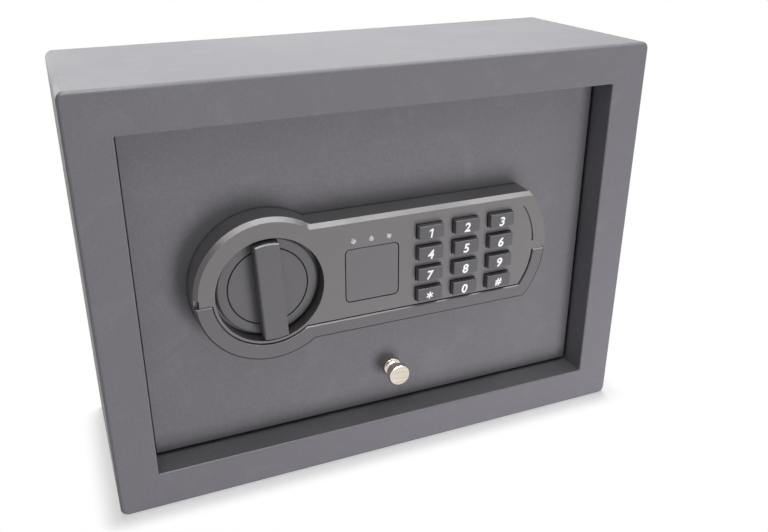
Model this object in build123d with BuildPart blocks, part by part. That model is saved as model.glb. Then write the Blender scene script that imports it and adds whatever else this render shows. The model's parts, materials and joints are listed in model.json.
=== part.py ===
from build123d import *
import os
from math import cos, radians, sin, sqrt

# A slim safe for a drawer, standing on its long side with the door to the front.
# X runs to the right, Y into the safe and Z up. The origin is the middle of the face it stands on.
# A value that ends in _x or _z is a place, measured from that origin.

# Body, folded and welded from sheet steel
width = 300
height = 220
depth = 108
body_sheet = 1.5
border = 21
outer_corner = 4
front_roll = 1.2
mouth_roll = 0.9
weld_fit = 0.1
anchor_spacing_x = 200
anchor_spacing_z = 120
anchor_radius = 5.25
felt_thickness = 2
felt_margin = 4
felt_cutout = 15
stop_reach = 5
stop_length = 100

# Door, a steel plate that lies deep in the mouth of the body
recess = 15.5
door_thickness = 3
side_gap = 1.2
bottom_gap = 1.5
top_gap = 2.4
stop_gap = 0.3
door_edge = 0.5

# Hinge, a pin and an ear at each side, just below the door's top edge
hinge_drop = 12
hinge_setback = 4
pin_radius = 2
pin_end = 1.5
running_fit = 0.05
bracket_sheet = 2
bracket_half = 9
bracket_front = 5
ear_sheet = 2
ear_inset = 3
ear_reach = 5
leaf_width = 24
leaf_gap = 4.6
leaf_drop = 7
leaf_sheet = 1.5

# Control panel, a ring with a bar to its right, moulded in one housing
dial_from_left = 85.5
dial_from_bottom = 113.7
ring_radius = 38.2
bar_half = 31.2
bar_end = 147.2
bar_end_radius = 48.3
panel_height = 15.5
panel_wall = 2.5
panel_face = 3
panel_chamfer = 2.1
notch_height = 3.9
notch_depth = 2.5
bow_notch = 1.4
trim_ring = 9
trim_bar = 8
trim_seat = 1
trim_rise = 0.8
trim_drop = 2.9
trim_edge = 0.4
trim_gap = 0.1
trim_groove = 0.6
groove_width = 1.3
groove_depth = 0.8
groove_start = 4
groove_end = 35
ring_screw_angle = 55
bar_screw_inset = 1
lead_hole_radius = 6

# Dial in its dish
dish_radius = 27.9
dish_depth = 8.5
dish_wall = 1.8
dial_radius = 26.2
dial_sink = 5.3
dial_thickness = 2.5
dial_groove_radius = 20.7
dial_groove_width = 0.7
dial_groove_depth = 0.5
dial_groove_sides = 60
grip_width = 12.6
grip_height = 8
grip_tilt = 3
grip_edge = 0.7
hub_radius = 8
hub_length = 6.3
hub_gap = 0.6
spindle_radius = 4
spindle_flat = 1
spindle_sink = 1
bush_radius = 6.5
bush_flange_radius = 9
bush_flange = 1.5
fit_gap = 0.1

# Emergency lock behind its square cover
lock_from_dial = 54.25
lock_lift = 0.1
cover_side = 29.5
cover_corner = 2.5
cover_thickness = 1.6
cover_gap = 0.3
cover_seat_gap = 0.2
clip_length = 4
clip_width = 6
clip_thickness = 1.1
cylinder_radius = 8.75
cylinder_flange_radius = 10
cylinder_flange = 1.2
cylinder_length = 27
plug_radius = 5.5
keyway_width = 1.8
keyway_height = 7.4
keyway_depth = 12
nut_flats = 22
nut_thickness = 3
lever_length = 16
lever_width = 6
lever_sheet = 2
lever_eye = 1.5
tail_radius = 2.5

# Lamps
lamp_from_lock = 0.5
lamp_lift = 19.1
lamp_pitch = 9.85
lamp_radius = 1.5
lamp_dome = 0.4
lamp_land = 3

# Keys
key_columns = 3
key_rows = 4
key_pitch_x = 21.05
key_pitch_z = 11.95
key_width = 14.6
key_height = 7.7
key_edge = 0.6
key_rise = 3.5
key_gap = 0.3
key_travel = 0.9
key_flange = 1.1
key_flange_thickness = 1.2
keypad_from_dial = 107.4
keypad_lift = 0.85
mat_margin = 3
mat_sheet = 1
board_sheet = 1.6
board_sink = 8
chip_width = 10
chip_height = 8
plug_width = 12
plug_height = 5
plug_drop = 14.3
sounder_radius = 6
board_part_rise = 2

# Pull knob
knob_x = 8.1
knob_z = 44.4
knob_base_radius = 5.1
knob_base = 1.4
knob_neck_radius = 2.9
knob_head_radius = 6.4
knob_head = 4.6
knob_length = 12
knob_edge = 1.2
knob_thread_radius = 2
knob_thread_depth = 6
knob_screw_head_radius = 4
knob_screw_head = 1.4

# Bolt work behind the door
bolt_travel = 10
dial_throw = 90
bolt_radius = 6
bolt_set = 9
bolt_tip_rise = 1.5
bolt_length = 38
bolt_chamfer = 1.5
rivet_radius = 3
left_bolt_from_dial = 20.5
right_bolt_x = 65
guide_length = 12
guide_wall = 2.8
guide_rise = 8
guide_foot = 5.6
cam_set = 8
cam_sheet = 3
cam_radius = 7.5
cam_pin_radius = 2
cam_pin_end = 1
cam_lobe = 2.2
carriage_set = 12.5
carriage_sheet = 2.5
slide_gap = 0.3
slot_gap = 0.7
bar_left_height = 24
bar_right_height = 14
bar_overhang = 12
arm_left = 12
arm_right = 14.5
arm_top = 12.5
stud_radius = 2.2
stud_collar = 4
stud_head = 2
left_stud_from_dial = 34.5
right_stud_x = 10
stud_rise = 8.5

# Solenoid that blocks the carriage
plunger_radius = 2.5
plunger_gap = 0.5
plunger_throw = 4
plunger_length = 41
solenoid_drop = 19.5
solenoid_width = 28
solenoid_height = 14
solenoid_sheet = 1.5
solenoid_from_arm = 10
coil_radius = 6.5
cheek_thickness = 1.2
cheek_step = 1.5
notch_half = 3.5
notch_gap = 1

# Cover over the bolt work, with the battery box in it
case_side_gap = 13.8
case_right = 98
case_bottom = 29
case_top = 146
case_depth = 26
case_sheet = 1.2
case_roll = 2
bolt_exit_gap = 0.8
tab_width = 16
tab_reach = 9
cell_radius = 7.25
cell_length = 49
cell_nub_radius = 2.75
cell_nub = 1.5
cell_pitch = 14.9
cell_count = 4
cell_fit = 0.15
contact_sheet = 0.4
contact_side = 10.2
spring_length = 4
spring_radius = 4
spring_taper = 17
box_wall = 1.4
box_from_side = 14
box_from_top = 4
lid_lap = 0.4
lid_gap = 0.3
lid_rise = 0.4
lid_seat_gap = 0.2
thumb_width = 16
thumb_height = 3
button_radius = 3.5
button_rise = 1.8
button_flange = 1
button_flange_reach = 1.5
button_x = 0
button_drop = 14

# Sides of the rounds of inner parts and of small parts that repeat, and the screws
inner_round_sides = 20
small_round_sides = 12
screw_radius = 1.45
screw_head_radius = 2.8
screw_head = 1.9
screw_length = 9
boss_radius = 3.1
blind_depth = 2.2
blind_end = 0.4
screw_end_gap = 1

# Places that follow from the sizes above
front = -depth / 2
back = depth / 2
middle_z = height / 2
mouth_width = width - 2 * border
mouth_height = height - 2 * border
mouth_side = mouth_width / 2
door_face = front + recess
door_back = door_face + door_thickness
door_bottom = border + bottom_gap
door_top = height - border - top_gap
door_side = mouth_side - side_gap
lip_depth = recess + door_thickness + stop_gap + body_sheet
hinge_y = door_back + hinge_setback
hinge_z = door_top - hinge_drop
leaf_foot = case_top + leaf_gap
case_left = case_side_gap - door_side

dial_x = -width / 2 + dial_from_left
dial_z = dial_from_bottom
panel_front = door_face - panel_height
bar_arc_x = dial_x + bar_end - sqrt(bar_end_radius**2 - bar_half**2)
trim_top = dial_z - trim_drop
lock_x = dial_x + lock_from_dial
lock_z = dial_z + lock_lift
keypad_x = dial_x + keypad_from_dial
keypad_z = dial_z + keypad_lift
left_bolt_x = dial_x - left_bolt_from_dial
left_stud_x = dial_x + left_stud_from_dial


os.makedirs("parts", exist_ok=True)


def facing(y):
    """Plane at depth y that faces the front, with X to the right and Z up."""
    return Plane.XZ.offset(-y)


def beside(x):
    """Plane at x that faces right, with Y to its right and Z up."""
    return Plane.YZ.offset(x)


def panel_outline(ring_inset, bar_inset, mode=Mode.ADD):
    """Ring, bar and bowed bar end of the panel, each drawn in by an inset."""
    half = bar_half - bar_inset
    end_radius = bar_end_radius - bar_inset
    corner_x = bar_arc_x + sqrt(end_radius**2 - half**2)
    with Locations((dial_x, dial_z)):
        Circle(ring_radius - ring_inset, mode=mode)
    with BuildLine() as bar_line:
        top = Line((dial_x, dial_z + half), (corner_x, dial_z + half))
        bow = ThreePointArc(top @ 1, (bar_arc_x + end_radius, dial_z), (corner_x, dial_z - half))
        bottom = Line(bow @ 1, (dial_x, dial_z - half))
        Line(bottom @ 1, top @ 0)
    make_face(bar_line.edges(), mode=mode)


def trim_section(groove, gap):
    """Band round the panel's lower half, with a groove at its inner edge and a gap at its ends."""
    panel_outline(0, 0)
    panel_outline(trim_ring - groove, trim_bar - groove, mode=Mode.SUBTRACT)
    with Locations((0, trim_top - gap)):
        Rectangle(width, height, align=(Align.CENTER, Align.MIN), mode=Mode.SUBTRACT)


def spindle_section(clearance):
    """Round section with one flat, for the spindle and for the holes that it drives."""
    with Locations((dial_x, dial_z)):
        shaft_round(spindle_radius + clearance)
    with Locations((dial_x, dial_z + spindle_radius - spindle_flat + clearance)):
        Rectangle(
            2 * (spindle_radius + spindle_flat),
            2 * spindle_flat,
            align=(Align.CENTER, Align.MIN),
            mode=Mode.SUBTRACT,
        )


def small_round(radius, mode=Mode.ADD):
    """Outline of a screw, a boss or another small round that repeats, drawn with few sides."""
    RegularPolygon(radius, small_round_sides, mode=mode)


def shaft_round(radius):
    """Round of an inner part, drawn with few sides whose corners lie on the radius."""
    RegularPolygon(radius, inner_round_sides)


def bore_round(radius, mode=Mode.SUBTRACT):
    """Hole round an inner part, drawn with few sides whose flats lie on the radius."""
    RegularPolygon(radius, inner_round_sides, major_radius=False, mode=mode)


def screw(x, z, head_face, length):
    """Pan head screw driven from the inside: head on head_face, shank towards the front."""
    with BuildSketch(facing(head_face)) as head:
        with Locations((x, z)):
            small_round(screw_head_radius)
    extrude(head.sketch, amount=-screw_head)
    with BuildSketch(facing(head_face)) as shank:
        with Locations((x, z)):
            small_round(screw_radius - running_fit)
    extrude(shank.sketch, amount=length)


# Body shell: four walls, the front border and the lip that turns back in
with BuildPart() as body_shell:
    with BuildSketch(facing(back)):
        with Locations((0, middle_z)):
            RectangleRounded(width, height, outer_corner)
    extrude(amount=depth)
    chamfer(body_shell.faces().sort_by(Axis.Y)[0].edges(), front_roll)
    with BuildSketch(facing(back)):
        with Locations((0, middle_z)):
            RectangleRounded(width - 2 * body_sheet, height - 2 * body_sheet, outer_corner - body_sheet)
    extrude(amount=depth - body_sheet, mode=Mode.SUBTRACT)
    with BuildSketch(facing(front + lip_depth)):
        with Locations((0, middle_z)):
            Rectangle(mouth_width + 2 * body_sheet, mouth_height + 2 * body_sheet)
    extrude(amount=lip_depth - body_sheet)
    with BuildSketch(facing(front + lip_depth)):
        with Locations((0, middle_z)):
            Rectangle(mouth_width, mouth_height)
    extrude(amount=lip_depth, mode=Mode.SUBTRACT)
    fillet(body_shell.faces().sort_by(Axis.Y)[0].inner_wires()[0].edges(), mouth_roll)
body_shell.part.label = "body_shell"
export_step(body_shell.part, "parts/body_shell.step")

# Door stops, two strips welded inside the lip that the door closes against
with BuildPart() as door_stops:
    with BuildSketch(facing(front + lip_depth)):
        for sign in (-1, 1):
            with Locations((sign * (mouth_side - weld_fit), middle_z - border)):
                stop_align = (Align.MIN if sign < 0 else Align.MAX, Align.CENTER)
                Rectangle(stop_reach, stop_length, align=stop_align)
    extrude(amount=body_sheet)
door_stops.part.label = "door_stops"
export_step(door_stops.part, "parts/door_stops.step")

# Back panel, welded in flush with the rear edges, with four anchor holes
with BuildPart() as back_panel:
    with BuildSketch(facing(back)):
        with Locations((0, middle_z)):
            RectangleRounded(
                width - 2 * body_sheet - 2 * weld_fit,
                height - 2 * body_sheet - 2 * weld_fit,
                outer_corner - body_sheet,
            )
            with GridLocations(anchor_spacing_x, anchor_spacing_z, 2, 2):
                Circle(anchor_radius, mode=Mode.SUBTRACT)
    extrude(amount=body_sheet)
back_panel.part.label = "back_panel"
export_step(back_panel.part, "parts/back_panel.step")

# Felt lining glued to the inside of the back panel, the floor once it lies in its drawer
with BuildPart() as felt_mat:
    with BuildSketch(facing(back - body_sheet)):
        with Locations((0, middle_z)):
            Rectangle(width - 2 * body_sheet - 2 * felt_margin, height - 2 * body_sheet - 2 * felt_margin)
            with GridLocations(anchor_spacing_x, anchor_spacing_z, 2, 2):
                Rectangle(felt_cutout, felt_cutout, mode=Mode.SUBTRACT)
    extrude(amount=felt_thickness)
felt_mat.part.label = "felt_mat"
export_step(felt_mat.part, "parts/felt_mat.step")

# Hinge at each side: a bracket welded behind the lip, and the door's ear beside it
bracket_inner = mouth_side + body_sheet
bracket_outer = bracket_inner + bracket_sheet
ear_outer = door_side - ear_inset
pin_inner = ear_outer - ear_sheet - pin_end
for side, sign in (("left", -1), ("right", 1)):
    with BuildPart() as hinge_bracket:
        with BuildSketch(beside(sign * bracket_inner)):
            with Locations((hinge_y, hinge_z)):
                shaft_round(bracket_half)
                Rectangle(
                    hinge_y - front - bracket_front,
                    2 * bracket_half,
                    align=(Align.MAX, Align.CENTER),
                )
                bore_round(pin_radius + running_fit)
        extrude(amount=sign * bracket_sheet)
    hinge_bracket.part.label = f"hinge_bracket_{side}"
    export_step(hinge_bracket.part, f"parts/hinge_bracket_{side}.step")

    with BuildPart() as hinge_ear:
        with BuildSketch(beside(sign * ear_outer)):
            with BuildLine():
                crown = hinge_z + ear_reach
                heel = Line((door_back, leaf_foot), (door_back, crown))
                roof = Line(heel @ 1, (hinge_y, crown))
                nose = ThreePointArc(roof @ 1, (hinge_y + ear_reach, hinge_z), (hinge_y, hinge_z - ear_reach))
                slope = Line(nose @ 1, (hinge_y, leaf_foot))
                Line(slope @ 1, heel @ 0)
            make_face()
            with Locations((hinge_y, hinge_z)):
                bore_round(pin_radius + running_fit)
        extrude(amount=-sign * ear_sheet)
        with BuildSketch(facing(door_back)):
            with Locations((sign * (ear_outer - leaf_width / 2), leaf_foot)):
                Rectangle(leaf_width, hinge_z - leaf_drop - leaf_foot, align=(Align.CENTER, Align.MIN))
        extrude(amount=-leaf_sheet)
    hinge_ear.part.label = f"hinge_ear_{side}"
    export_step(hinge_ear.part, f"parts/hinge_ear_{side}.step")

# Hinge pins, pushed through the brackets and the ears
with BuildPart() as hinge_pins:
    for sign in (-1, 1):
        with BuildSketch(beside(sign * (bracket_outer + pin_end))) as pin_shank:
            with Locations((hinge_y, hinge_z)):
                shaft_round(pin_radius)
        extrude(pin_shank.sketch, amount=-sign * (bracket_outer + pin_end - pin_inner))
hinge_pins.part.label = "hinge_pins"
export_step(hinge_pins.part, "parts/hinge_pins.step")

# Places of the screws that hold the panel to the door, each in a boss of the housing
ring_boss = (dish_radius + dish_wall + ring_radius - panel_wall) / 2
ring_screw_x = dial_x - ring_boss * cos(radians(ring_screw_angle))
ring_screw_rise = ring_boss * sin(radians(ring_screw_angle))
panel_screw_places = [(ring_screw_x, dial_z + ring_screw_rise), (ring_screw_x, dial_z - ring_screw_rise)]
panel_screw_places.append((bar_arc_x + bar_end_radius - panel_wall - boss_radius - bar_screw_inset, dial_z))

# Case of the bolt work: tabs and screws at its sides and top
case_middle_x = (case_left + case_right) / 2
case_middle_z = (case_bottom + case_top) / 2
case_back = door_back + case_depth
tab_high = case_top - tab_width
tab_low = case_bottom + tab_width
case_screw_places = [
    (case_left - tab_reach / 2, tab_high),
    (case_left - tab_reach / 2, tab_low),
    (case_right + tab_reach / 2, tab_high),
    (case_right + tab_reach / 2, tab_low),
]

# Door plate with the holes for the dial, the lock, the leads and the screws
with BuildPart() as door_plate:
    with BuildSketch(facing(door_back)):
        with Locations((0, (door_bottom + door_top) / 2)):
            Rectangle(2 * door_side, door_top - door_bottom)
    extrude(amount=door_thickness)
    chamfer(door_plate.faces().sort_by(Axis.Y)[0].edges(), door_edge)
    with BuildSketch(facing(door_back)):
        with Locations((dial_x, dial_z)):
            bore_round(bush_radius + fit_gap, mode=Mode.ADD)
        with Locations((lock_x, lock_z)):
            bore_round(cylinder_radius + fit_gap, mode=Mode.ADD)
        with Locations((keypad_x, keypad_z)):
            bore_round(lead_hole_radius, mode=Mode.ADD)
        with Locations(*panel_screw_places):
            small_round(screw_radius)
        with Locations((knob_x, knob_z)):
            small_round(knob_thread_radius + fit_gap)
    extrude(amount=door_thickness, mode=Mode.SUBTRACT)
    with BuildSketch(facing(door_back)):
        with Locations(*case_screw_places):
            small_round(screw_radius)
    extrude(amount=blind_depth, mode=Mode.SUBTRACT)
door_plate.part.label = "door_plate"
export_step(door_plate.part, "parts/door_plate.step")

# Panel housing: hollow moulding with the dial's dish, the lock's pocket and the key holes
key_hole_width = key_width + 2 * key_gap
key_hole_height = key_height + 2 * key_gap
lamp_places = [(lock_x - lamp_from_lock + lamp_pitch * step, lock_z + lamp_lift) for step in (-1, 0, 1)]
with BuildPart() as panel_housing:
    with BuildSketch(facing(door_face)):
        panel_outline(0, 0)
    extrude(amount=panel_height)
    chamfer(panel_housing.faces().sort_by(Axis.Y)[0].edges().sort_by(Axis.X)[:-1], panel_chamfer)
    with BuildSketch(facing(door_face)):
        panel_outline(0, 0)
        with Locations((0, trim_top)):
            Rectangle(width, height, align=(Align.CENTER, Align.MIN), mode=Mode.SUBTRACT)
    extrude(amount=panel_height)
    with BuildSketch(facing(door_face)):
        panel_outline(panel_wall, panel_wall)
    extrude(amount=panel_height - panel_face, mode=Mode.SUBTRACT)
    # Dish under the dial
    with BuildSketch(facing(panel_front + dish_depth + dish_wall)):
        with Locations((dial_x, dial_z)):
            Circle(dish_radius + dish_wall)
    extrude(amount=dish_depth + dish_wall - panel_face)
    with BuildSketch(facing(panel_front + dish_depth)):
        with Locations((dial_x, dial_z)):
            Circle(dish_radius)
    extrude(amount=dish_depth, mode=Mode.SUBTRACT)
    with BuildSketch(facing(panel_front + dish_depth + dish_wall)):
        with Locations((dial_x, dial_z)):
            bore_round(hub_radius + hub_gap, mode=Mode.ADD)
    extrude(amount=dish_wall, mode=Mode.SUBTRACT)
    # Bosses that reach the door
    with BuildSketch(facing(door_face)):
        with Locations(*panel_screw_places):
            small_round(boss_radius)
    extrude(amount=panel_height - panel_face)
    with BuildSketch(facing(door_face)):
        with Locations(*panel_screw_places):
            small_round(screw_radius)
    extrude(amount=screw_length - door_thickness + screw_end_gap, mode=Mode.SUBTRACT)
    # Pocket of the lock's cover, with slots for its clips
    with BuildSketch(facing(panel_front + cover_thickness + cover_seat_gap)):
        with Locations((lock_x, lock_z)):
            RectangleRounded(cover_side + 2 * cover_gap, cover_side + 2 * cover_gap, cover_corner + cover_gap)
    extrude(amount=cover_thickness + cover_seat_gap, mode=Mode.SUBTRACT)
    # Holes for the lock, its clips, the lamps and the keys
    with BuildSketch(facing(panel_front + panel_face)):
        with Locations((lock_x, lock_z)):
            bore_round(cylinder_flange_radius + fit_gap, mode=Mode.ADD)
            with GridLocations(0, cover_side - clip_thickness, 1, 2):
                Rectangle(clip_width + 2 * cover_gap, clip_thickness + 2 * cover_gap)
        with Locations(*lamp_places):
            small_round(lamp_radius + fit_gap)
        with Locations((keypad_x, keypad_z)):
            with GridLocations(key_pitch_x, key_pitch_z, key_columns, key_rows):
                Rectangle(key_hole_width, key_hole_height)
    extrude(amount=panel_face, mode=Mode.SUBTRACT)
    # Seat of the trim, a notch above each of its ends, and the groove that carries its line on
    with BuildSketch(facing(panel_front + trim_seat)):
        trim_section(0, 0)
    extrude(amount=trim_seat, mode=Mode.SUBTRACT)
    with BuildSketch(facing(panel_front + panel_chamfer + fit_gap)):
        with Locations((dial_x - ring_radius, trim_top)):
            Rectangle(2 * notch_depth, notch_height, align=(Align.CENTER, Align.MIN))
        with Locations((bar_arc_x + bar_end_radius, trim_top)):
            Rectangle(2 * bow_notch, bow_notch, align=(Align.CENTER, Align.MIN))
    extrude(amount=panel_chamfer + fit_gap, mode=Mode.SUBTRACT)
    with BuildSketch(facing(panel_front)):
        with BuildLine(mode=Mode.PRIVATE) as groove_line:
            CenterArc((bar_arc_x, dial_z), bar_end_radius - trim_bar, groove_start, groove_end - groove_start)
        SlotArc(groove_line.edges()[0], groove_width)
    extrude(amount=-groove_depth, mode=Mode.SUBTRACT)
panel_housing.part.label = "panel_housing"
export_step(panel_housing.part, "parts/panel_housing.step")

# Trim, a raised band set into the panel's lower half
with BuildPart() as panel_trim:
    with BuildSketch(facing(panel_front + trim_seat)):
        trim_section(trim_groove, trim_gap)
    extrude(amount=trim_seat + trim_rise)
    chamfer(panel_trim.faces().sort_by(Axis.Y)[0].edges(), trim_edge)
panel_trim.part.label = "panel_trim"
export_step(panel_trim.part, "parts/panel_trim.step")

# Dial: disc with a turned groove, a hub behind it and a grip bar across it
dial_face = panel_front + dial_sink
dial_back = dial_face + dial_thickness
hub_end = dial_back + hub_length
with BuildPart() as dial:
    with BuildSketch(facing(dial_back)):
        with Locations((dial_x, dial_z)):
            Circle(dial_radius)
    extrude(amount=dial_thickness)
    chamfer(dial.faces().sort_by(Axis.Y)[0].edges(), grip_edge)
    with BuildSketch(facing(dial_face + dial_groove_depth)):
        with Locations((dial_x, dial_z)):
            RegularPolygon(dial_groove_radius + dial_groove_width / 2, dial_groove_sides)
            RegularPolygon(dial_groove_radius - dial_groove_width / 2, dial_groove_sides, mode=Mode.SUBTRACT)
    extrude(amount=dial_groove_depth, mode=Mode.SUBTRACT)
    with BuildSketch(facing(hub_end)):
        with Locations((dial_x, dial_z)):
            shaft_round(hub_radius)
    extrude(amount=hub_length)
    with BuildSketch(facing(dial_face + dial_groove_depth)):
        with Locations((dial_x, dial_z)):
            Rectangle(grip_width, 3 * dial_radius, rotation=grip_tilt)
            Circle(dial_radius, mode=Mode.INTERSECT)
    extrude(amount=grip_height + dial_groove_depth)
    chamfer(dial.faces().sort_by(Axis.Y)[0].edges(), grip_edge)
    with BuildSketch(facing(hub_end)):
        spindle_section(running_fit)
    extrude(amount=hub_length + dial_thickness + spindle_sink, mode=Mode.SUBTRACT)
dial.part.label = "dial"
export_step(dial.part, "parts/dial.step")

# Bush that carries the spindle in the door plate
with BuildPart() as dial_bush:
    with BuildSketch(facing(door_back)):
        with Locations((dial_x, dial_z)):
            shaft_round(bush_radius)
    extrude(amount=door_thickness)
    with BuildSketch(facing(door_back + bush_flange)):
        with Locations((dial_x, dial_z)):
            shaft_round(bush_flange_radius)
    extrude(amount=bush_flange)
    with BuildSketch(facing(door_back + bush_flange)):
        with Locations((dial_x, dial_z)):
            bore_round(spindle_radius + running_fit, mode=Mode.ADD)
    extrude(amount=bush_flange + door_thickness, mode=Mode.SUBTRACT)
dial_bush.part.label = "dial_bush"
export_step(dial_bush.part, "parts/dial_bush.step")

# Spindle from the dial to the cam, round in the bush and flatted at both ends
cam_face = door_back + cam_set
cam_back = cam_face + cam_sheet
with BuildPart() as dial_spindle:
    with BuildSketch(facing(cam_back)):
        spindle_section(0)
    extrude(amount=cam_back - dial_face + spindle_sink - running_fit)
    with BuildSketch(facing(cam_face)):
        with Locations((dial_x, dial_z)):
            shaft_round(spindle_radius)
    extrude(amount=cam_face - hub_end)
dial_spindle.part.label = "dial_spindle"
export_step(dial_spindle.part, "parts/dial_spindle.step")

# Cam: a crank with a drive pin that stands in the carriage's slot
crank = bolt_travel / 2 / sin(radians(dial_throw / 2))
crank_x = dial_x + crank * cos(radians(dial_throw / 2))
crank_z = dial_z + bolt_travel / 2
carriage_face = door_back + carriage_set
carriage_back = carriage_face + carriage_sheet
with BuildPart() as dial_cam:
    with BuildSketch(facing(cam_back)):
        with Locations((dial_x, dial_z)):
            shaft_round(cam_radius)
        with Locations((crank_x, crank_z)):
            shaft_round(cam_pin_radius + cam_lobe)
        make_hull()
    extrude(amount=cam_sheet)
    with BuildSketch(facing(cam_back)):
        spindle_section(running_fit)
    extrude(amount=cam_sheet, mode=Mode.SUBTRACT)
    with BuildSketch(facing(carriage_back + cam_pin_end)):
        with Locations((crank_x, crank_z)):
            small_round(cam_pin_radius)
    extrude(amount=carriage_back + cam_pin_end - cam_back)
dial_cam.part.label = "dial_cam"
export_step(dial_cam.part, "parts/dial_cam.step")

# Bolt carriage: a flanged bar with an arm up to the cam, slots and two notches for the plunger
bolt_y = door_back + bolt_set
bolt_tip = door_bottom + bolt_tip_rise
carriage_bottom = bolt_tip + bolt_length
bar_left = left_bolt_x - bar_overhang
bar_right = right_bolt_x + bar_overhang
arm_edge = dial_x + arm_right
arm_height = dial_z + arm_top - carriage_bottom
plunger_z = dial_z - solenoid_drop
stud_z = carriage_bottom + stud_rise
drive_slot_left = crank_x - cam_pin_radius - slot_gap
drive_slot_right = dial_x + crank + cam_pin_radius + slot_gap
drive_slot_height = 2 * (cam_pin_radius + slot_gap)
stud_slot_half = stud_radius + slide_gap
with BuildPart() as bolt_carriage:
    with BuildSketch(facing(carriage_back)):
        with Locations((bar_left, carriage_bottom)):
            Rectangle(bar_right - bar_left, bar_right_height, align=(Align.MIN, Align.MIN))
            Rectangle(right_stud_x + bar_overhang - bar_left, bar_left_height, align=(Align.MIN, Align.MIN))
        with Locations((dial_x - arm_left, carriage_bottom)):
            Rectangle(arm_left + arm_right, arm_height, align=(Align.MIN, Align.MIN))
        with Locations(((drive_slot_left + drive_slot_right) / 2, crank_z)):
            SlotOverall(drive_slot_right - drive_slot_left, drive_slot_height, mode=Mode.SUBTRACT)
        with Locations((left_stud_x, stud_z + bolt_travel / 2), (right_stud_x, stud_z + bolt_travel / 2)):
            SlotOverall(bolt_travel + 2 * stud_slot_half, 2 * stud_slot_half, rotation=90, mode=Mode.SUBTRACT)
        with Locations((arm_edge, plunger_z), (arm_edge, plunger_z + bolt_travel)):
            Rectangle(2 * (plunger_throw + notch_gap), 2 * notch_half, mode=Mode.SUBTRACT)
    extrude(amount=carriage_sheet)
    with BuildSketch(facing(carriage_back)):
        with Locations((bar_left, carriage_bottom)):
            Rectangle(bar_right - bar_left, carriage_sheet, align=(Align.MIN, Align.MIN))
    extrude(amount=carriage_back - bolt_y + bolt_radius)
    with BuildSketch(Plane.XY.offset(carriage_bottom)):
        with Locations((left_bolt_x, bolt_y), (right_bolt_x, bolt_y)):
            small_round(rivet_radius + running_fit)
    extrude(amount=carriage_sheet, mode=Mode.SUBTRACT)
bolt_carriage.part.label = "bolt_carriage"
export_step(bolt_carriage.part, "parts/bolt_carriage.step")

# Bolts riveted under the carriage, and the guides that they slide in
guide_bottom = bolt_tip + guide_rise
guide_side = bolt_radius + running_fit + guide_wall
for side, bolt_x in (("left", left_bolt_x), ("right", right_bolt_x)):
    with BuildPart() as bolt:
        with BuildSketch(Plane.XY.offset(bolt_tip)):
            with Locations((bolt_x, bolt_y)):
                shaft_round(bolt_radius)
        extrude(amount=bolt_length)
        chamfer(bolt.faces().sort_by(Axis.Z)[0].edges(), bolt_chamfer)
        with BuildSketch(Plane.XY.offset(carriage_bottom)):
            with Locations((bolt_x, bolt_y)):
                small_round(rivet_radius)
        extrude(amount=carriage_sheet)
    bolt.part.label = f"bolt_{side}"
    export_step(bolt.part, f"parts/bolt_{side}.step")

    with BuildPart() as bolt_guide:
        with BuildSketch(Plane.XY.offset(guide_bottom)):
            with Locations((bolt_x, door_back)):
                Rectangle(2 * (guide_foot + guide_side), guide_wall, align=(Align.CENTER, Align.MIN))
                Rectangle(2 * guide_side, bolt_set, align=(Align.CENTER, Align.MIN))
            with Locations((bolt_x, bolt_y)):
                shaft_round(guide_side)
                bore_round(bolt_radius + running_fit)
        extrude(amount=guide_length)
    bolt_guide.part.label = f"bolt_guide_{side}"
    export_step(bolt_guide.part, f"parts/bolt_guide_{side}.step")

# Shoulder studs on the door that the carriage slides along
with BuildPart() as carriage_studs:
    for stud_x in (left_stud_x, right_stud_x):
        with BuildSketch(facing(door_back)):
            with Locations((stud_x, stud_z)):
                small_round(stud_collar)
        extrude(amount=-(carriage_set - slide_gap))
        with BuildSketch(facing(door_back)):
            with Locations((stud_x, stud_z)):
                small_round(stud_radius)
        extrude(amount=-(carriage_set + carriage_sheet + slide_gap))
        with BuildSketch(facing(carriage_back + slide_gap)):
            with Locations((stud_x, stud_z)):
                small_round(stud_collar)
        extrude(amount=-stud_head)
carriage_studs.part.label = "carriage_studs"
export_step(carriage_studs.part, "parts/carriage_studs.step")

# Solenoid: a bent frame on the door, its coil, and the plunger that drops into the carriage
plunger_y = (carriage_face + carriage_back) / 2
solenoid_left = arm_edge + solenoid_from_arm
solenoid_right = solenoid_left + solenoid_width
solenoid_back = plunger_y + coil_radius + solenoid_sheet
with BuildPart() as solenoid_frame:
    with BuildSketch(Plane.XY.offset(plunger_z - solenoid_height / 2)):
        with Locations((solenoid_left, door_back)):
            Rectangle(solenoid_width, solenoid_back - door_back, align=(Align.MIN, Align.MIN))
        with Locations((solenoid_left + solenoid_sheet, door_back + solenoid_sheet)):
            Rectangle(
                solenoid_width - 2 * solenoid_sheet,
                solenoid_back - door_back,
                align=(Align.MIN, Align.MIN),
                mode=Mode.SUBTRACT,
            )
    extrude(amount=solenoid_height)
    with BuildSketch(beside(solenoid_left)):
        with Locations((plunger_y, plunger_z)):
            bore_round(plunger_radius + running_fit, mode=Mode.ADD)
    extrude(amount=solenoid_width, mode=Mode.SUBTRACT)
solenoid_frame.part.label = "solenoid_frame"
export_step(solenoid_frame.part, "parts/solenoid_frame.step")

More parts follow.
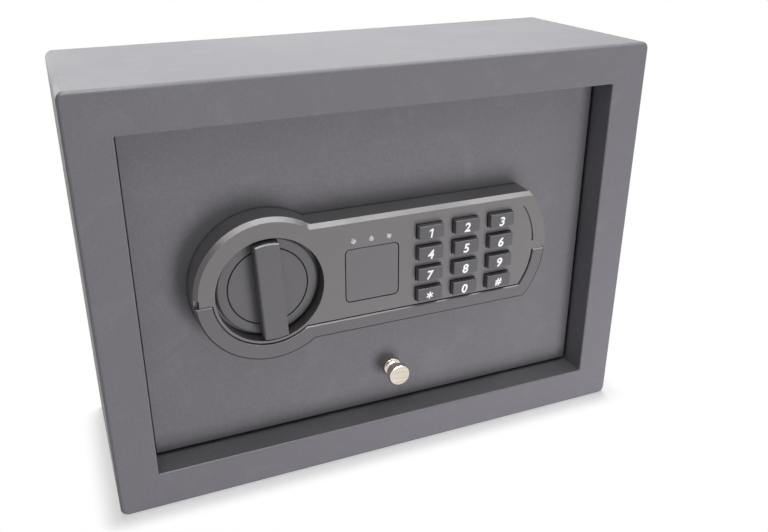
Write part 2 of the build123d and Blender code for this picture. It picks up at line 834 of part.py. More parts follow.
with BuildPart() as solenoid_coil:
    with BuildSketch(beside(solenoid_left + solenoid_sheet)):
        with Locations((plunger_y, plunger_z)):
            shaft_round(coil_radius - cheek_step)
    extrude(amount=solenoid_width - 2 * solenoid_sheet)
    for cheek_x in (solenoid_left + solenoid_sheet, solenoid_right - solenoid_sheet - cheek_thickness):
        with BuildSketch(beside(cheek_x)):
            with Locations((plunger_y, plunger_z)):
                Rectangle(2 * coil_radius, 2 * coil_radius)
        extrude(amount=cheek_thickness)
    with BuildSketch(beside(solenoid_left + solenoid_sheet)):
        with Locations((plunger_y, plunger_z)):
            bore_round(plunger_radius + running_fit, mode=Mode.ADD)
    extrude(amount=solenoid_width - 2 * solenoid_sheet, mode=Mode.SUBTRACT)
solenoid_coil.part.label = "solenoid_coil"
export_step(solenoid_coil.part, "parts/solenoid_coil.step")

with BuildPart() as solenoid_plunger:
    with BuildSketch(beside(arm_edge + plunger_gap)):
        with Locations((plunger_y, plunger_z)):
            shaft_round(plunger_radius)
    extrude(amount=plunger_length)
    chamfer(solenoid_plunger.faces().sort_by(Axis.X)[0].edges(), plunger_gap)
solenoid_plunger.part.label = "solenoid_plunger"
export_step(solenoid_plunger.part, "parts/solenoid_plunger.step")

# Emergency lock: cylinder through the door, its nut, the plug and the lever on the plug's tail
cylinder_face = panel_front + panel_face - cylinder_flange
cylinder_end = cylinder_face + cylinder_length
with BuildPart() as key_cylinder:
    with BuildSketch(facing(cylinder_end)):
        with Locations((lock_x, lock_z)):
            shaft_round(cylinder_radius)
    extrude(amount=cylinder_length)
    with BuildSketch(facing(cylinder_face + cylinder_flange)):
        with Locations((lock_x, lock_z)):
            shaft_round(cylinder_flange_radius)
    extrude(amount=cylinder_flange)
    with BuildSketch(facing(cylinder_end)):
        with Locations((lock_x, lock_z)):
            bore_round(plug_radius + running_fit, mode=Mode.ADD)
    extrude(amount=cylinder_length, mode=Mode.SUBTRACT)
key_cylinder.part.label = "key_cylinder"
export_step(key_cylinder.part, "parts/key_cylinder.step")

with BuildPart() as cylinder_nut:
    with BuildSketch(facing(door_back + nut_thickness)):
        with Locations((lock_x, lock_z)):
            RegularPolygon(nut_flats / 2, 6, major_radius=False)
            bore_round(cylinder_radius + running_fit)
    extrude(amount=nut_thickness)
cylinder_nut.part.label = "cylinder_nut"
export_step(cylinder_nut.part, "parts/cylinder_nut.step")

lever_face = cylinder_end + slide_gap
with BuildPart() as key_plug:
    with BuildSketch(facing(cylinder_end)):
        with Locations((lock_x, lock_z)):
            shaft_round(plug_radius)
    extrude(amount=cylinder_length - running_fit)
    with BuildSketch(facing(lever_face + lever_sheet)):
        with Locations((lock_x, lock_z)):
            small_round(tail_radius)
    extrude(amount=lever_sheet + slide_gap)
    with BuildSketch(facing(cylinder_face + keyway_depth)):
        with Locations((lock_x, lock_z)):
            Rectangle(keyway_width, keyway_height)
    extrude(amount=keyway_depth, mode=Mode.SUBTRACT)
key_plug.part.label = "key_plug"
export_step(key_plug.part, "parts/key_plug.step")

with BuildPart() as key_lever:
    with BuildSketch(facing(lever_face + lever_sheet)):
        with Locations((lock_x, lock_z)):
            shaft_round(lever_width / 2 + lever_eye)
        with Locations((lock_x + lever_length, lock_z)):
            shaft_round(lever_width / 2)
        make_hull()
        with Locations((lock_x, lock_z)):
            small_round(tail_radius + running_fit, mode=Mode.SUBTRACT)
    extrude(amount=lever_sheet)
key_lever.part.label = "key_lever"
export_step(key_lever.part, "parts/key_lever.step")

# Square cover over the emergency lock, held by two clips
with BuildPart() as emergency_cover:
    with BuildSketch(facing(panel_front + cover_thickness)):
        with Locations((lock_x, lock_z)):
            RectangleRounded(cover_side, cover_side, cover_corner)
    extrude(amount=cover_thickness)
    chamfer(emergency_cover.faces().sort_by(Axis.Y)[0].edges(), cover_gap)
    with BuildSketch(facing(panel_front + cover_thickness + clip_length)):
        with Locations((lock_x, lock_z)):
            with GridLocations(0, cover_side - clip_thickness, 1, 2):
                Rectangle(clip_width, clip_thickness)
    extrude(amount=clip_length)
emergency_cover.part.label = "emergency_cover"
export_step(emergency_cover.part, "parts/emergency_cover.step")

# Lamps: clear light guides from the board to the panel's face
board_face = panel_front + board_sink
for number, (lamp_x, lamp_z) in enumerate(lamp_places, start=1):
    with BuildPart() as indicator_lens:
        with BuildSketch(facing(board_face)):
            with Locations((lamp_x, lamp_z)):
                small_round(lamp_radius)
        extrude(amount=board_sink + lamp_dome)
        chamfer(indicator_lens.faces().sort_by(Axis.Y)[0].edges(), lamp_dome)
    indicator_lens.part.label = f"indicator_lens_{number}"
    export_step(indicator_lens.part, f"parts/indicator_lens_{number}.step")

# Keys: a cap with a wider foot behind the panel's face, each free to travel
key_names = [["1", "2", "3"], ["4", "5", "6"], ["7", "8", "9"], ["star", "0", "hash"]]
key_foot_face = panel_front + panel_face + key_gap
key_foot_back = key_foot_face + key_flange_thickness
for row, names in enumerate(key_names):
    for column, name in enumerate(names):
        key_x = keypad_x + (column - (key_columns - 1) / 2) * key_pitch_x
        key_z = keypad_z + ((key_rows - 1) / 2 - row) * key_pitch_z
        with BuildPart() as key_cap:
            with BuildSketch(facing(key_foot_back)):
                with Locations((key_x, key_z)):
                    Rectangle(key_width, key_height)
            extrude(amount=key_foot_back - panel_front + key_rise)
            chamfer(key_cap.faces().sort_by(Axis.Y)[0].edges(), key_edge)
            with BuildSketch(facing(key_foot_back)):
                with Locations((key_x, key_z)):
                    Rectangle(key_width + 2 * key_flange, key_height + 2 * key_flange)
            extrude(amount=key_flange_thickness)
        key_cap.part.label = f"key_{name}"
        export_step(key_cap.part, f"parts/key_{name}.step")

# Rubber mat with a dome under each key
dome_face = key_foot_back + key_travel + running_fit
keypad_width = (key_columns - 1) * key_pitch_x + key_width
keypad_height = (key_rows - 1) * key_pitch_z + key_height
with BuildPart() as keypad_mat:
    with BuildSketch(facing(board_face)):
        with Locations((keypad_x, keypad_z)):
            Rectangle(keypad_width + 2 * mat_margin, keypad_height + 2 * mat_margin)
    extrude(amount=mat_sheet)
    with BuildSketch(facing(board_face - mat_sheet)):
        with Locations((keypad_x, keypad_z)):
            with GridLocations(key_pitch_x, key_pitch_z, key_columns, key_rows):
                Rectangle(key_width - mat_margin, key_height - mat_margin / 2)
    extrude(amount=board_face - mat_sheet - dome_face)
keypad_mat.part.label = "keypad_mat"
export_step(keypad_mat.part, "parts/keypad_mat.step")

# Circuit board behind the mat and the lamps, with its chip, sounder and plug
board_right = keypad_x + keypad_width / 2 + mat_margin
board_left = lamp_places[0][0] - lamp_land
board_top = lamp_places[0][1] + lamp_land
keypad_left = keypad_x - keypad_width / 2 - mat_margin
keypad_top = keypad_z + keypad_height / 2 + mat_margin
board_bottom = keypad_z - keypad_height / 2 - mat_margin
with BuildPart() as circuit_board:
    with BuildSketch(facing(board_face)):
        with Locations((board_left, board_top)):
            Rectangle(board_right - board_left, 2 * lamp_land, align=(Align.MIN, Align.MAX))
        with Locations((keypad_left, keypad_top)):
            Rectangle(board_right - keypad_left, keypad_top - board_bottom, align=(Align.MIN, Align.MAX))
    extrude(amount=-board_sheet)
    with BuildSketch(facing(board_face + board_sheet)):
        with Locations((keypad_x - key_pitch_x, keypad_z)):
            Rectangle(chip_width, chip_height)
        with Locations((keypad_x, keypad_z - plug_drop)):
            Rectangle(plug_width, plug_height)
        with Locations((keypad_x + key_pitch_x, keypad_z + key_pitch_z)):
            shaft_round(sounder_radius)
    extrude(amount=-board_part_rise)
circuit_board.part.label = "circuit_board"
export_step(circuit_board.part, "parts/circuit_board.step")

# Pull knob, turned with a waist, and the screw that holds it
with BuildPart() as pull_knob:
    with BuildSketch(Plane.XY.offset(knob_z)):
        with BuildLine():
            face_y = door_face - knob_length
            axis_line = Line((knob_x, door_face), (knob_x, face_y))
            rim = Polyline(
                axis_line @ 1,
                (knob_x + knob_head_radius - knob_edge, face_y),
                (knob_x + knob_head_radius, face_y + knob_edge),
                (knob_x + knob_head_radius, face_y + knob_head),
                (knob_x + knob_neck_radius, face_y + knob_head),
            )
            waist = Line(rim @ 1, (knob_x + knob_neck_radius, door_face - 2 * knob_base))
            foot_line = Polyline(
                waist @ 1,
                (knob_x + knob_base_radius, door_face - knob_base),
                (knob_x + knob_base_radius, door_face),
            )
            Line(foot_line @ 1, axis_line @ 0)
        make_face()
    revolve(axis=Axis((knob_x, 0, knob_z), (0, 1, 0)))
    with BuildSketch(facing(door_face)):
        with Locations((knob_x, knob_z)):
            small_round(knob_thread_radius)
    extrude(amount=knob_thread_depth, mode=Mode.SUBTRACT)
pull_knob.part.label = "pull_knob"
export_step(pull_knob.part, "parts/pull_knob.step")

with BuildPart() as knob_screw:
    with BuildSketch(facing(door_back + knob_screw_head)):
        with Locations((knob_x, knob_z)):
            small_round(knob_screw_head_radius)
    extrude(amount=knob_screw_head)
    with BuildSketch(facing(door_back)):
        with Locations((knob_x, knob_z)):
            small_round(knob_thread_radius - running_fit)
    extrude(amount=door_thickness + knob_thread_depth - screw_end_gap)
knob_screw.part.label = "knob_screw"
export_step(knob_screw.part, "parts/knob_screw.step")

# Case over the bolt work, pressed from sheet, with a window for the batteries
box_inner_length = cell_length + cell_nub + 2 * contact_sheet + spring_length + 2 * cell_fit
box_inner_height = (cell_count - 1) * cell_pitch + 2 * (cell_radius + cell_fit)
box_right = case_right - box_from_side
box_left = box_right - box_inner_length - 2 * box_wall
box_top = case_top - box_from_top
box_bottom = box_top - box_inner_height - 2 * box_wall
box_x = (box_left + box_right) / 2
box_z = (box_bottom + box_top) / 2
box_back = case_back - case_sheet
button_z = case_top - button_drop
with BuildPart() as mechanism_case:
    with BuildSketch(facing(case_back)):
        with Locations((case_middle_x, case_middle_z)):
            Rectangle(case_right - case_left, case_top - case_bottom)
    extrude(amount=case_depth)
    chamfer(mechanism_case.faces().sort_by(Axis.Y)[-1].edges(), case_roll)
    with BuildSketch(facing(case_back - case_sheet)):
        with Locations((case_middle_x, case_middle_z)):
            Rectangle(case_right - case_left - 2 * case_sheet, case_top - case_bottom - 2 * case_sheet)
    extrude(amount=case_depth - case_sheet, mode=Mode.SUBTRACT)
    with BuildSketch(facing(door_back + case_sheet)):
        with Locations(*case_screw_places):
            Rectangle(tab_reach, tab_width)
            small_round(screw_radius, mode=Mode.SUBTRACT)
    extrude(amount=case_sheet)
    with BuildSketch(Plane.XY.offset(case_bottom)):
        with Locations((left_bolt_x, bolt_y), (right_bolt_x, bolt_y)):
            bore_round(bolt_radius + bolt_exit_gap, mode=Mode.ADD)
    extrude(amount=case_sheet, mode=Mode.SUBTRACT)
    with BuildSketch(facing(case_back)):
        with Locations((box_x, box_z)):
            Rectangle(box_inner_length + 2 * (lid_lap + lid_gap), box_inner_height + 2 * (lid_lap + lid_gap))
        with Locations((button_x, button_z)):
            bore_round(button_radius + slide_gap, mode=Mode.ADD)
    extrude(amount=case_sheet, mode=Mode.SUBTRACT)
mechanism_case.part.label = "mechanism_case"
export_step(mechanism_case.part, "parts/mechanism_case.step")

with BuildPart() as case_screws:
    for screw_x, screw_z in case_screw_places:
        screw(screw_x, screw_z, door_back + case_sheet, case_sheet + blind_depth - blind_end)
case_screws.part.label = "case_screws"
export_step(case_screws.part, "parts/case_screws.step")

with BuildPart() as panel_screws:
    for screw_x, screw_z in panel_screw_places:
        screw(screw_x, screw_z, door_back, screw_length)
panel_screws.part.label = "panel_screws"
export_step(panel_screws.part, "parts/panel_screws.step")

# Battery box with a trough for each cell, its cells and contacts, and the lid over them
cell_y = box_back - cell_fit - cell_radius
cell_places = [(cell_y, box_z + (index - (cell_count - 1) / 2) * cell_pitch) for index in range(cell_count)]
box_inner_left = box_left + box_wall
with BuildPart() as battery_box:
    with BuildSketch(facing(box_back)):
        with Locations((box_x, box_z)):
            Rectangle(box_inner_length + 2 * box_wall, box_inner_height + 2 * box_wall)
    extrude(amount=2 * (cell_radius + cell_fit) + box_wall)
    with BuildSketch(facing(box_back)):
        with Locations((box_x, box_z)):
            Rectangle(box_inner_length, box_inner_height)
    extrude(amount=cell_radius + cell_fit, mode=Mode.SUBTRACT)
    with BuildSketch(beside(box_inner_left)):
        with Locations(*cell_places):
            bore_round(cell_radius + cell_fit, mode=Mode.ADD)
    extrude(amount=box_inner_length, mode=Mode.SUBTRACT)
battery_box.part.label = "battery_box"
export_step(battery_box.part, "parts/battery_box.step")

cell_start = contact_sheet + spring_length + cell_fit
for index, (place_y, place_z) in enumerate(cell_places):
    turned = index % 2 == 1
    can_left = box_inner_left + (contact_sheet + cell_fit + cell_nub if turned else cell_start)
    nub_left = can_left - cell_nub if turned else can_left + cell_length
    with BuildPart() as battery:
        with BuildSketch(beside(can_left)):
            with Locations((place_y, place_z)):
                shaft_round(cell_radius)
        extrude(amount=cell_length)
        with BuildSketch(beside(nub_left)):
            with Locations((place_y, place_z)):
                small_round(cell_nub_radius)
        extrude(amount=cell_nub)
    battery.part.label = f"battery_{index + 1}"
    export_step(battery.part, f"parts/battery_{index + 1}.step")

with BuildPart() as battery_contacts:
    for index, (place_y, place_z) in enumerate(cell_places):
        turned = index % 2 == 1
        box_inner_right = box_right - box_wall
        for plate_x in (box_inner_left, box_inner_right - contact_sheet):
            with BuildSketch(beside(plate_x)):
                with Locations((place_y, place_z)):
                    Rectangle(contact_side, contact_side)
            extrude(amount=contact_sheet)
        spring_x = box_inner_right - contact_sheet if turned else box_inner_left + contact_sheet
        spring_way = -1 if turned else 1
        with BuildSketch(beside(spring_x)):
            with Locations((place_y, place_z)):
                small_round(spring_radius)
        extrude(amount=spring_way * spring_length, taper=spring_taper)
battery_contacts.part.label = "battery_contacts"
export_step(battery_contacts.part, "parts/battery_contacts.step")

with BuildPart() as battery_lid:
    with BuildSketch(facing(case_back + lid_rise)):
        with Locations((box_x, box_z)):
            Rectangle(box_inner_length + 2 * lid_lap, box_inner_height + 2 * lid_lap)
    extrude(amount=lid_rise + case_sheet - lid_seat_gap)
    chamfer(battery_lid.faces().sort_by(Axis.Y)[-1].edges(), lid_rise)
    with BuildSketch(facing(case_back + lid_rise)):
        with Locations((box_x, box_top - 2 * thumb_height)):
            SlotOverall(thumb_width, thumb_height)
    extrude(amount=lid_rise + lid_seat_gap, mode=Mode.SUBTRACT)
battery_lid.part.label = "battery_lid"
export_step(battery_lid.part, "parts/battery_lid.step")

# Button that stores a new code, reached with the door open
with BuildPart() as reset_button:
    with BuildSketch(facing(case_back + button_rise)):
        with Locations((button_x, button_z)):
            shaft_round(button_radius)
    extrude(amount=button_rise + case_sheet + slide_gap)
    chamfer(reset_button.faces().sort_by(Axis.Y)[-1].edges(), lid_rise)
    with BuildSketch(facing(box_back - slide_gap)):
        with Locations((button_x, button_z)):
            shaft_round(button_radius + button_flange_reach)
    extrude(amount=button_flange)
reset_button.part.label = "reset_button"
export_step(reset_button.part, "parts/reset_button.step")
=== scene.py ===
"""Looks of a slim drawer safe: finishes, dressed pieces, floor, lights and camera around its frame."""

import json
import logging
import math
from dataclasses import dataclass, replace
from enum import Enum
from typing import Callable, Sequence

import bmesh
import bpy
from bmesh.types import BMEdge, BMesh, BMFace, BMVert
from bpy.types import ID, Material, Mesh, Node, NodeSocket, NodeTree, Object
from mathutils import Matrix, Vector

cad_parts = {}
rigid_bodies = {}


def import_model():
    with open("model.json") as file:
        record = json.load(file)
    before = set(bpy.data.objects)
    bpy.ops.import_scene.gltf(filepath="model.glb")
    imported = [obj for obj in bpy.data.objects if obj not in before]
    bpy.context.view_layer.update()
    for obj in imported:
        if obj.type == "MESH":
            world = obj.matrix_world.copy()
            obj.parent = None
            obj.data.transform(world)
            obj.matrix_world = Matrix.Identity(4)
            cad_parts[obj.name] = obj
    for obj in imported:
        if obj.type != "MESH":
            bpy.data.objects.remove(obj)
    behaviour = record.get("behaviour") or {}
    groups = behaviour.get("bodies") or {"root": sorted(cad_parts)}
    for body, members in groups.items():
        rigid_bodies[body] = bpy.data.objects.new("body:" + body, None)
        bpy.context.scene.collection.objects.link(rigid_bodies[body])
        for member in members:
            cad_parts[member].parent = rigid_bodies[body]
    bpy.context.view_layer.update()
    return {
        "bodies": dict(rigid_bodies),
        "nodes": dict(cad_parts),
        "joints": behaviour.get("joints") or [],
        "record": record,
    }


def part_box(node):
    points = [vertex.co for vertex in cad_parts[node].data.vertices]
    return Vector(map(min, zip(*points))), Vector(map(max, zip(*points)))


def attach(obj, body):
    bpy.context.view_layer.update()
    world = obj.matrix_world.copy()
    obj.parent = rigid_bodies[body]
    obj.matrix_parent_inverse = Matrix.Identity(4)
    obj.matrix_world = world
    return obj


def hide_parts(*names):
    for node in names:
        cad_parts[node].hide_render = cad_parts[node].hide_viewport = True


log = logging.getLogger("drawer_safe")

MM = 0.001
FRAME_WIDTH, FRAME_HEIGHT = 768, 532
JOIN_DISTANCE = 0.002 * MM
FRONT_TOLERANCE = 0.01 * MM
FLAT_ANGLE = math.radians(0.6)
# Places of the painted shade finishes among a piece's materials: dark chamfers and grooves, and the bowl
# wall round the dial
PAINTED_SHADE, DISH_SHADE = 1, 2

Colour = tuple[float, float, float]
Place = tuple[float, float, float]
Line = list[tuple[float, float]]
Shaper = Callable[[BMesh], None]


class Slot(Enum):
    """Material slots of the record."""

    BODY_PAINT = "body_paint"
    DOOR_PAINT = "door_paint"
    CASE_PAINT = "case_paint"
    FELT = "felt"
    HINGE_STEEL = "hinge_steel"
    PANEL = "panel_plastic"
    TRIM = "trim_plastic"
    DIAL = "dial_plastic"
    COVER = "cover_plastic"
    KEY = "key_plastic"
    LAMP = "lamp_clear"
    MAT = "mat_rubber"
    BOARD = "board_green"
    KNOB = "knob_plate"
    LOCK_STEEL = "lock_steel"
    SHEET_STEEL = "sheet_steel"
    CAST_ZINC = "cast_zinc"
    BRASS = "lock_brass"
    COIL = "coil_winding"
    BOX = "box_plastic"
    CELL = "cell_can"


def to_linear(value: float) -> float:
    """One channel of a screen colour, 0 to 255, as the linear value that a shader takes.

    Args:
        value: the channel as a screen shows it.

    Returns:
        The linear value, 0 to 1.
    """
    share = value / 255
    return share / 12.92 if share <= 0.04045 else ((share + 0.055) / 1.055) ** 2.4


def rgba(colour: Colour, factor: float = 1.0) -> tuple[float, float, float, float]:
    """A screen colour as a linear shader colour.

    Args:
        colour: red, green and blue, 0 to 255.
        factor: how much lighter or darker it is made.

    Returns:
        The linear colour with full opacity.
    """
    red, green, blue = (min(1.0, to_linear(channel) * factor) for channel in colour)
    return (red, green, blue, 1.0)


class NodeSheet:
    """A node tree with short calls that add nodes and join them."""

    def __init__(self, tree: NodeTree) -> None:
        """Takes the tree that the nodes go into."""
        self.tree = tree

    def feed(self, socket: NodeSocket, value: object) -> None:
        """Gives an input socket its value, or links it where the value is a socket.

        Args:
            socket: the input socket.
            value: a plain value or a socket.
        """
        if isinstance(value, NodeSocket):
            self.tree.links.new(value, socket)
        else:
            socket.default_value = value

    def add(self, kind: str, inputs: dict | None = None, **settings: object) -> Node:
        """Adds one node.

        Args:
            kind: the node's type name.
            inputs: what feeds its sockets, a value or a socket each, by socket name or number.
            **settings: the node's own properties.

        Returns:
            The new node.
        """
        node = self.tree.nodes.new(kind)
        for name, value in settings.items():
            setattr(node, name, value)
        for name, value in (inputs or {}).items():
            self.feed(node.inputs[name], value)
        return node

    def math(self, operation: str, first: object, second: object) -> NodeSocket:
        """Adds a Math node on two values or sockets and hands back its result."""
        return self.add("ShaderNodeMath", {0: first, 1: second}, operation=operation).outputs[0]

    def vector(self, operation: str, first: object, second: object = (0, 0, 0)) -> Node:
        """Adds a Vector Math node on two values or sockets."""
        return self.add("ShaderNodeVectorMath", {0: first, 1: second}, operation=operation)

    def noise(self, place: object, scale: object, **inputs: float) -> NodeSocket:
        """Adds a noise texture.

        Args:
            place: its coordinates.
            scale: its scale, a value or a socket.
            **inputs: its other inputs by name.

        Returns:
            The noise, 0 to 1.
        """
        return self.add("ShaderNodeTexNoise", {"Vector": place, "Scale": scale, **inputs}).outputs["Fac"]

    def span(
        self, value: object, low: float, high: float, to_low: float = 0, to_high: float = 1
    ) -> NodeSocket:
        """Maps a value from one span to another, held inside it.

        Args:
            value: the socket that is mapped.
            low: start of the span that comes in.
            high: end of the span that comes in.
            to_low: what the start becomes.
            to_high: what the end becomes.

        Returns:
            The mapped socket.
        """
        spans = {"From Min": low, "From Max": high, "To Min": to_low, "To Max": to_high}
        node = self.add("ShaderNodeMapRange", {"Value": value, **spans}, interpolation_type="SMOOTHSTEP")
        return node.outputs["Result"]

    def seen(self) -> NodeSocket:
        """Adds a mask of the rays that show a surface: to the camera, in a reflection or through glass.

        Returns:
            The mask.
        """
        ray = self.add("ShaderNodeLightPath").outputs
        mirrored = self.math("MAXIMUM", ray["Is Camera Ray"], ray["Is Glossy Ray"])
        return self.math("MAXIMUM", mirrored, ray["Is Transmission Ray"])


class GroupSheet(NodeSheet):
    """Node tree of a group with named sockets."""

    def __init__(
        self, name: str, kind: str, inputs: dict[str, str | float], outputs: dict[str, str]
    ) -> None:
        """Makes the group.

        Args:
            name: the group's name.
            kind: the tree's type.
            inputs: each input's default, or its type where it has none.
            outputs: each output's type.
        """
        super().__init__(bpy.data.node_groups.new(name, kind))
        for label, value in inputs.items():
            plain = {float: "Float", int: "Int"}.get(type(value), value)
            socket = self.tree.interface.new_socket(label, in_out="INPUT", socket_type=f"NodeSocket{plain}")
            if plain != value:
                socket.default_value = value
        for label, plain in outputs.items():
            self.tree.interface.new_socket(label, in_out="OUTPUT", socket_type=f"NodeSocket{plain}")
        self.into = self.tree.nodes.new("NodeGroupInput").outputs
        self.out = self.tree.nodes.new("NodeGroupOutput").inputs

    def put(self, **results: NodeSocket) -> NodeTree:
        """Feeds the group's outputs.

        Args:
            **results: what feeds each output, by name.

        Returns:
            The group's tree.
        """
        for name, value in results.items():
            self.feed(self.out[name], value)
        return self.tree


class SurfaceGroups:
    """Shader node groups that several finishes share, each built once."""

    def __init__(self) -> None:
        """Builds the five groups."""
        self.grain = self._grain()
        self.clouds = self._clouds()
        self.edges = self._edges()
        self.gaps = self._gaps()
        self.brush = self._brush()

    @staticmethod
    def _sheet(name: str, outputs: Sequence[str], **inputs: float) -> GroupSheet:
        """Makes a shader group that puts out numbers.

        Args:
            name: the group's name.
            outputs: names of its outputs.
            **inputs: default of each input beside the coordinates.

        Returns:
            The group's sheet.
        """
        numbers = dict.fromkeys(outputs, "Float")
        return GroupSheet(name, "ShaderNodeTree", {"Vector": "Vector", **inputs}, numbers)

    def _grain(self) -> NodeTree:
        """Fine bumps of a sprayed or moulded surface: their height and a fleck mask.

        Returns:
            The group's tree.
        """
        sheet = self._sheet("surface_grain", ("Height", "Flecks"), Grain=900.0, Fleck=0.5)
        place, grain = sheet.into["Vector"], sheet.into["Grain"]
        fine = sheet.noise(place, grain, Detail=2.0, Roughness=0.6)
        coarse = {"Vector": place, "Scale": sheet.math("MULTIPLY", grain, 0.6)}
        cells = sheet.add("ShaderNodeTexVoronoi", coarse, feature="SMOOTH_F1")
        height = sheet.math("ADD", fine, sheet.math("MULTIPLY", cells.outputs["Distance"], 0.5))
        flecks = sheet.math("MULTIPLY", sheet.span(fine, 0.42, 0.66), sheet.into["Fleck"])
        return sheet.put(Height=height, Flecks=flecks)

    def _clouds(self) -> NodeTree:
        """Handling marks, dust and uneven gloss: a mask of wide patches and one of fine smears.

        Returns:
            The group's tree.
        """
        sheet = self._sheet("handling_clouds", ("Patch", "Smears"), Size=14.0, Smear=60.0)
        place = sheet.into["Vector"]
        wide = sheet.noise(place, sheet.into["Size"], Detail=3.0, Roughness=0.55, Distortion=0.6)
        thin = sheet.noise(place, sheet.into["Smear"], Detail=4.0, Roughness=0.7, Distortion=1.2)
        return sheet.put(Patch=sheet.span(wide, 0.35, 0.65), Smears=sheet.span(thin, 0.5, 0.75))

    def _edges(self) -> NodeTree:
        """Outer edges that hands and cloths have rubbed: their mask.

        Returns:
            The group's tree.
        """
        sheet = self._sheet("edge_rub", ("Rub",), Break=220.0, Reach=0.0008)
        rounded = sheet.add("ShaderNodeBevel", {"Radius": sheet.into["Reach"]}, samples=4)
        shape = sheet.add("ShaderNodeNewGeometry")
        agree = sheet.vector("DOT_PRODUCT", rounded.outputs["Normal"], shape.outputs["Normal"])
        broken = sheet.noise(sheet.into["Vector"], sheet.into["Break"], Detail=3.0, Roughness=0.6)
        crest = sheet.span(agree.outputs["Value"], 0.8, 0.99, 1, 0)
        return sheet.put(Rub=sheet.math("MULTIPLY", crest, sheet.span(broken, 0.4, 0.62, 0.15, 1)))

    def _gaps(self) -> NodeTree:
        """Painted shade in narrow crevices and inner corners, found by ambient occlusion: its mask and the
        shine left there.

        Returns:
            The group's tree.
        """
        sheet = self._sheet("dark_gaps", ("Shade", "Shine"), Reach=0.0014, Share=0.8)
        openness = sheet.add("ShaderNodeAmbientOcclusion", {"Distance": sheet.into["Reach"]}, samples=6)
        uneven = sheet.span(sheet.noise(sheet.into["Vector"], 160.0, Detail=2.0), 0.3, 0.6, 0.8, 1)
        closed = sheet.span(openness.outputs["AO"], 0.4, 0.86, 1, 0)
        shade = sheet.math("MULTIPLY", sheet.math("MULTIPLY", closed, uneven), sheet.into["Share"])
        return sheet.put(Shade=shade, Shine=sheet.math("MULTIPLY", sheet.math("SUBTRACT", 1.0, shade), 0.5))

    def _brush(self) -> NodeTree:
        """Long fine streaks of a turned, drawn or plated metal: their height and a tone mask.

        Returns:
            The group's tree.
        """
        sheet = self._sheet("metal_streaks", ("Height", "Tone"), Length=40.0, Fineness=1500.0)
        across = sheet.into["Fineness"]
        stretch = sheet.add("ShaderNodeCombineXYZ", {"X": sheet.into["Length"], "Y": across, "Z": across})
        scaled = sheet.vector("MULTIPLY", sheet.into["Vector"], stretch.outputs[0])
        streak = sheet.noise(scaled.outputs[0], 1.0, Detail=3.0)
        return sheet.put(Height=streak, Tone=sheet.span(streak, 0.35, 0.65))


class FinishSheet(NodeSheet):
    """Node tree of one finish, with its surface shader and object coordinates in place."""

    def __init__(self, name: str) -> None:
        """Makes the material and its shader.

        Args:
            name: the material's name.
        """
        self.material = bpy.data.materials.new(name)
        self.material.use_nodes = True
        super().__init__(self.material.node_tree)
        self.shader = next(node for node in self.tree.nodes if node.type == "BSDF_PRINCIPLED")
        self.place = self.add("ShaderNodeTexCoord").outputs["Object"]

    def set(self, **values: object) -> None:
        """Feeds the shader's own sockets, values or links, with _ for a space in a socket's name."""
        for name, value in values.items():
            self.feed(self.shader.inputs[name.replace("_", " ")], value)

    def group(self, tree: NodeTree, **values: float) -> dict[str, NodeSocket]:
        """Places a shared group on object coordinates.

        Args:
            tree: the group.
            **values: its inputs by name.

        Returns:
            The group's outputs.
        """
        return self.add("ShaderNodeGroup", {"Vector": self.place, **values}, node_tree=tree).outputs

    def blend(self, mask: NodeSocket, under: object, over: object) -> NodeSocket:
        """Mixes two colours, values or sockets, by a mask that is 0 where the first one lies."""
        return self.add("ShaderNodeMix", {0: mask, 6: under, 7: over}, data_type="RGBA").outputs[2]

    def share(self, mask: NodeSocket, factor: float) -> NodeSocket:
        """Weakens a mask by a factor."""
        return self.math("MULTIPLY", mask, factor)

    def bump(self, height: NodeSocket, depth: float, strength: float) -> None:
        """Raises the surface by a height socket.

        Args:
            height: the pattern.
            depth: its full height, in mm.
            strength: share of the effect.
        """
        inputs = {"Height": height, "Strength": strength, "Distance": depth * MM}
        self.feed(self.shader.inputs["Normal"], self.add("ShaderNodeBump", inputs).outputs["Normal"])

    def wear_and_shade(self, base: object, colour: Colour, groups: SurfaceGroups, wear_and_shade: "WearAndShade") -> None:
        """Paints a base colour with rubbed outer edges and with painted shade in crevices and inner
        corners, which don't shine.

        Args:
            base: the colour or socket under the wear.
            colour: the finish's own colour.
            groups: the shared node groups.
            wear_and_shade: how worn it is, and how much shade is painted into its crevices.
        """
        rub = self.group(groups.edges, Break=wear_and_shade.rub_break, Reach=wear_and_shade.rub_reach)["Rub"]
        gaps = self.group(groups.gaps, Reach=wear_and_shade.painted_shade_reach, Share=wear_and_shade.painted_shade_share)
        worn = self.blend(self.share(rub, wear_and_shade.rub), base, rgba(colour, wear_and_shade.rub_tone))
        # painted shade in crevices and inner corners, with their shine lowered
        self.set(Base_Color=self.blend(gaps["Shade"], worn, rgba(colour, wear_and_shade.painted_shade_tone)))
        self.set(Specular_IOR_Level=gaps["Shine"])


@dataclass(frozen=True)
class WearAndShade:
    """Rubbed outer edges of a coloured finish, and painted shade in its crevices and inner corners; reaches
    in metres.
    """

    rub: float
    rub_tone: float
    rub_break: float
    rub_reach: float
    painted_shade_tone: float
    painted_shade_share: float
    painted_shade_reach: float


@dataclass(frozen=True)
class Finish:
    """A surface that builds its own material."""

    name: str

    def build(self, groups: SurfaceGroups) -> Material:
        """Builds the material.

        Args:
            groups: the shared node groups.

        Returns:
            The finished material.
        """
        sheet = FinishSheet(self.name)
        self.lay(sheet, groups)
        return sheet.material

    def lay(self, sheet: FinishSheet, groups: SurfaceGroups) -> None:
        """Lays the finish on its sheet, each kind in its own way."""
        raise NotImplementedError


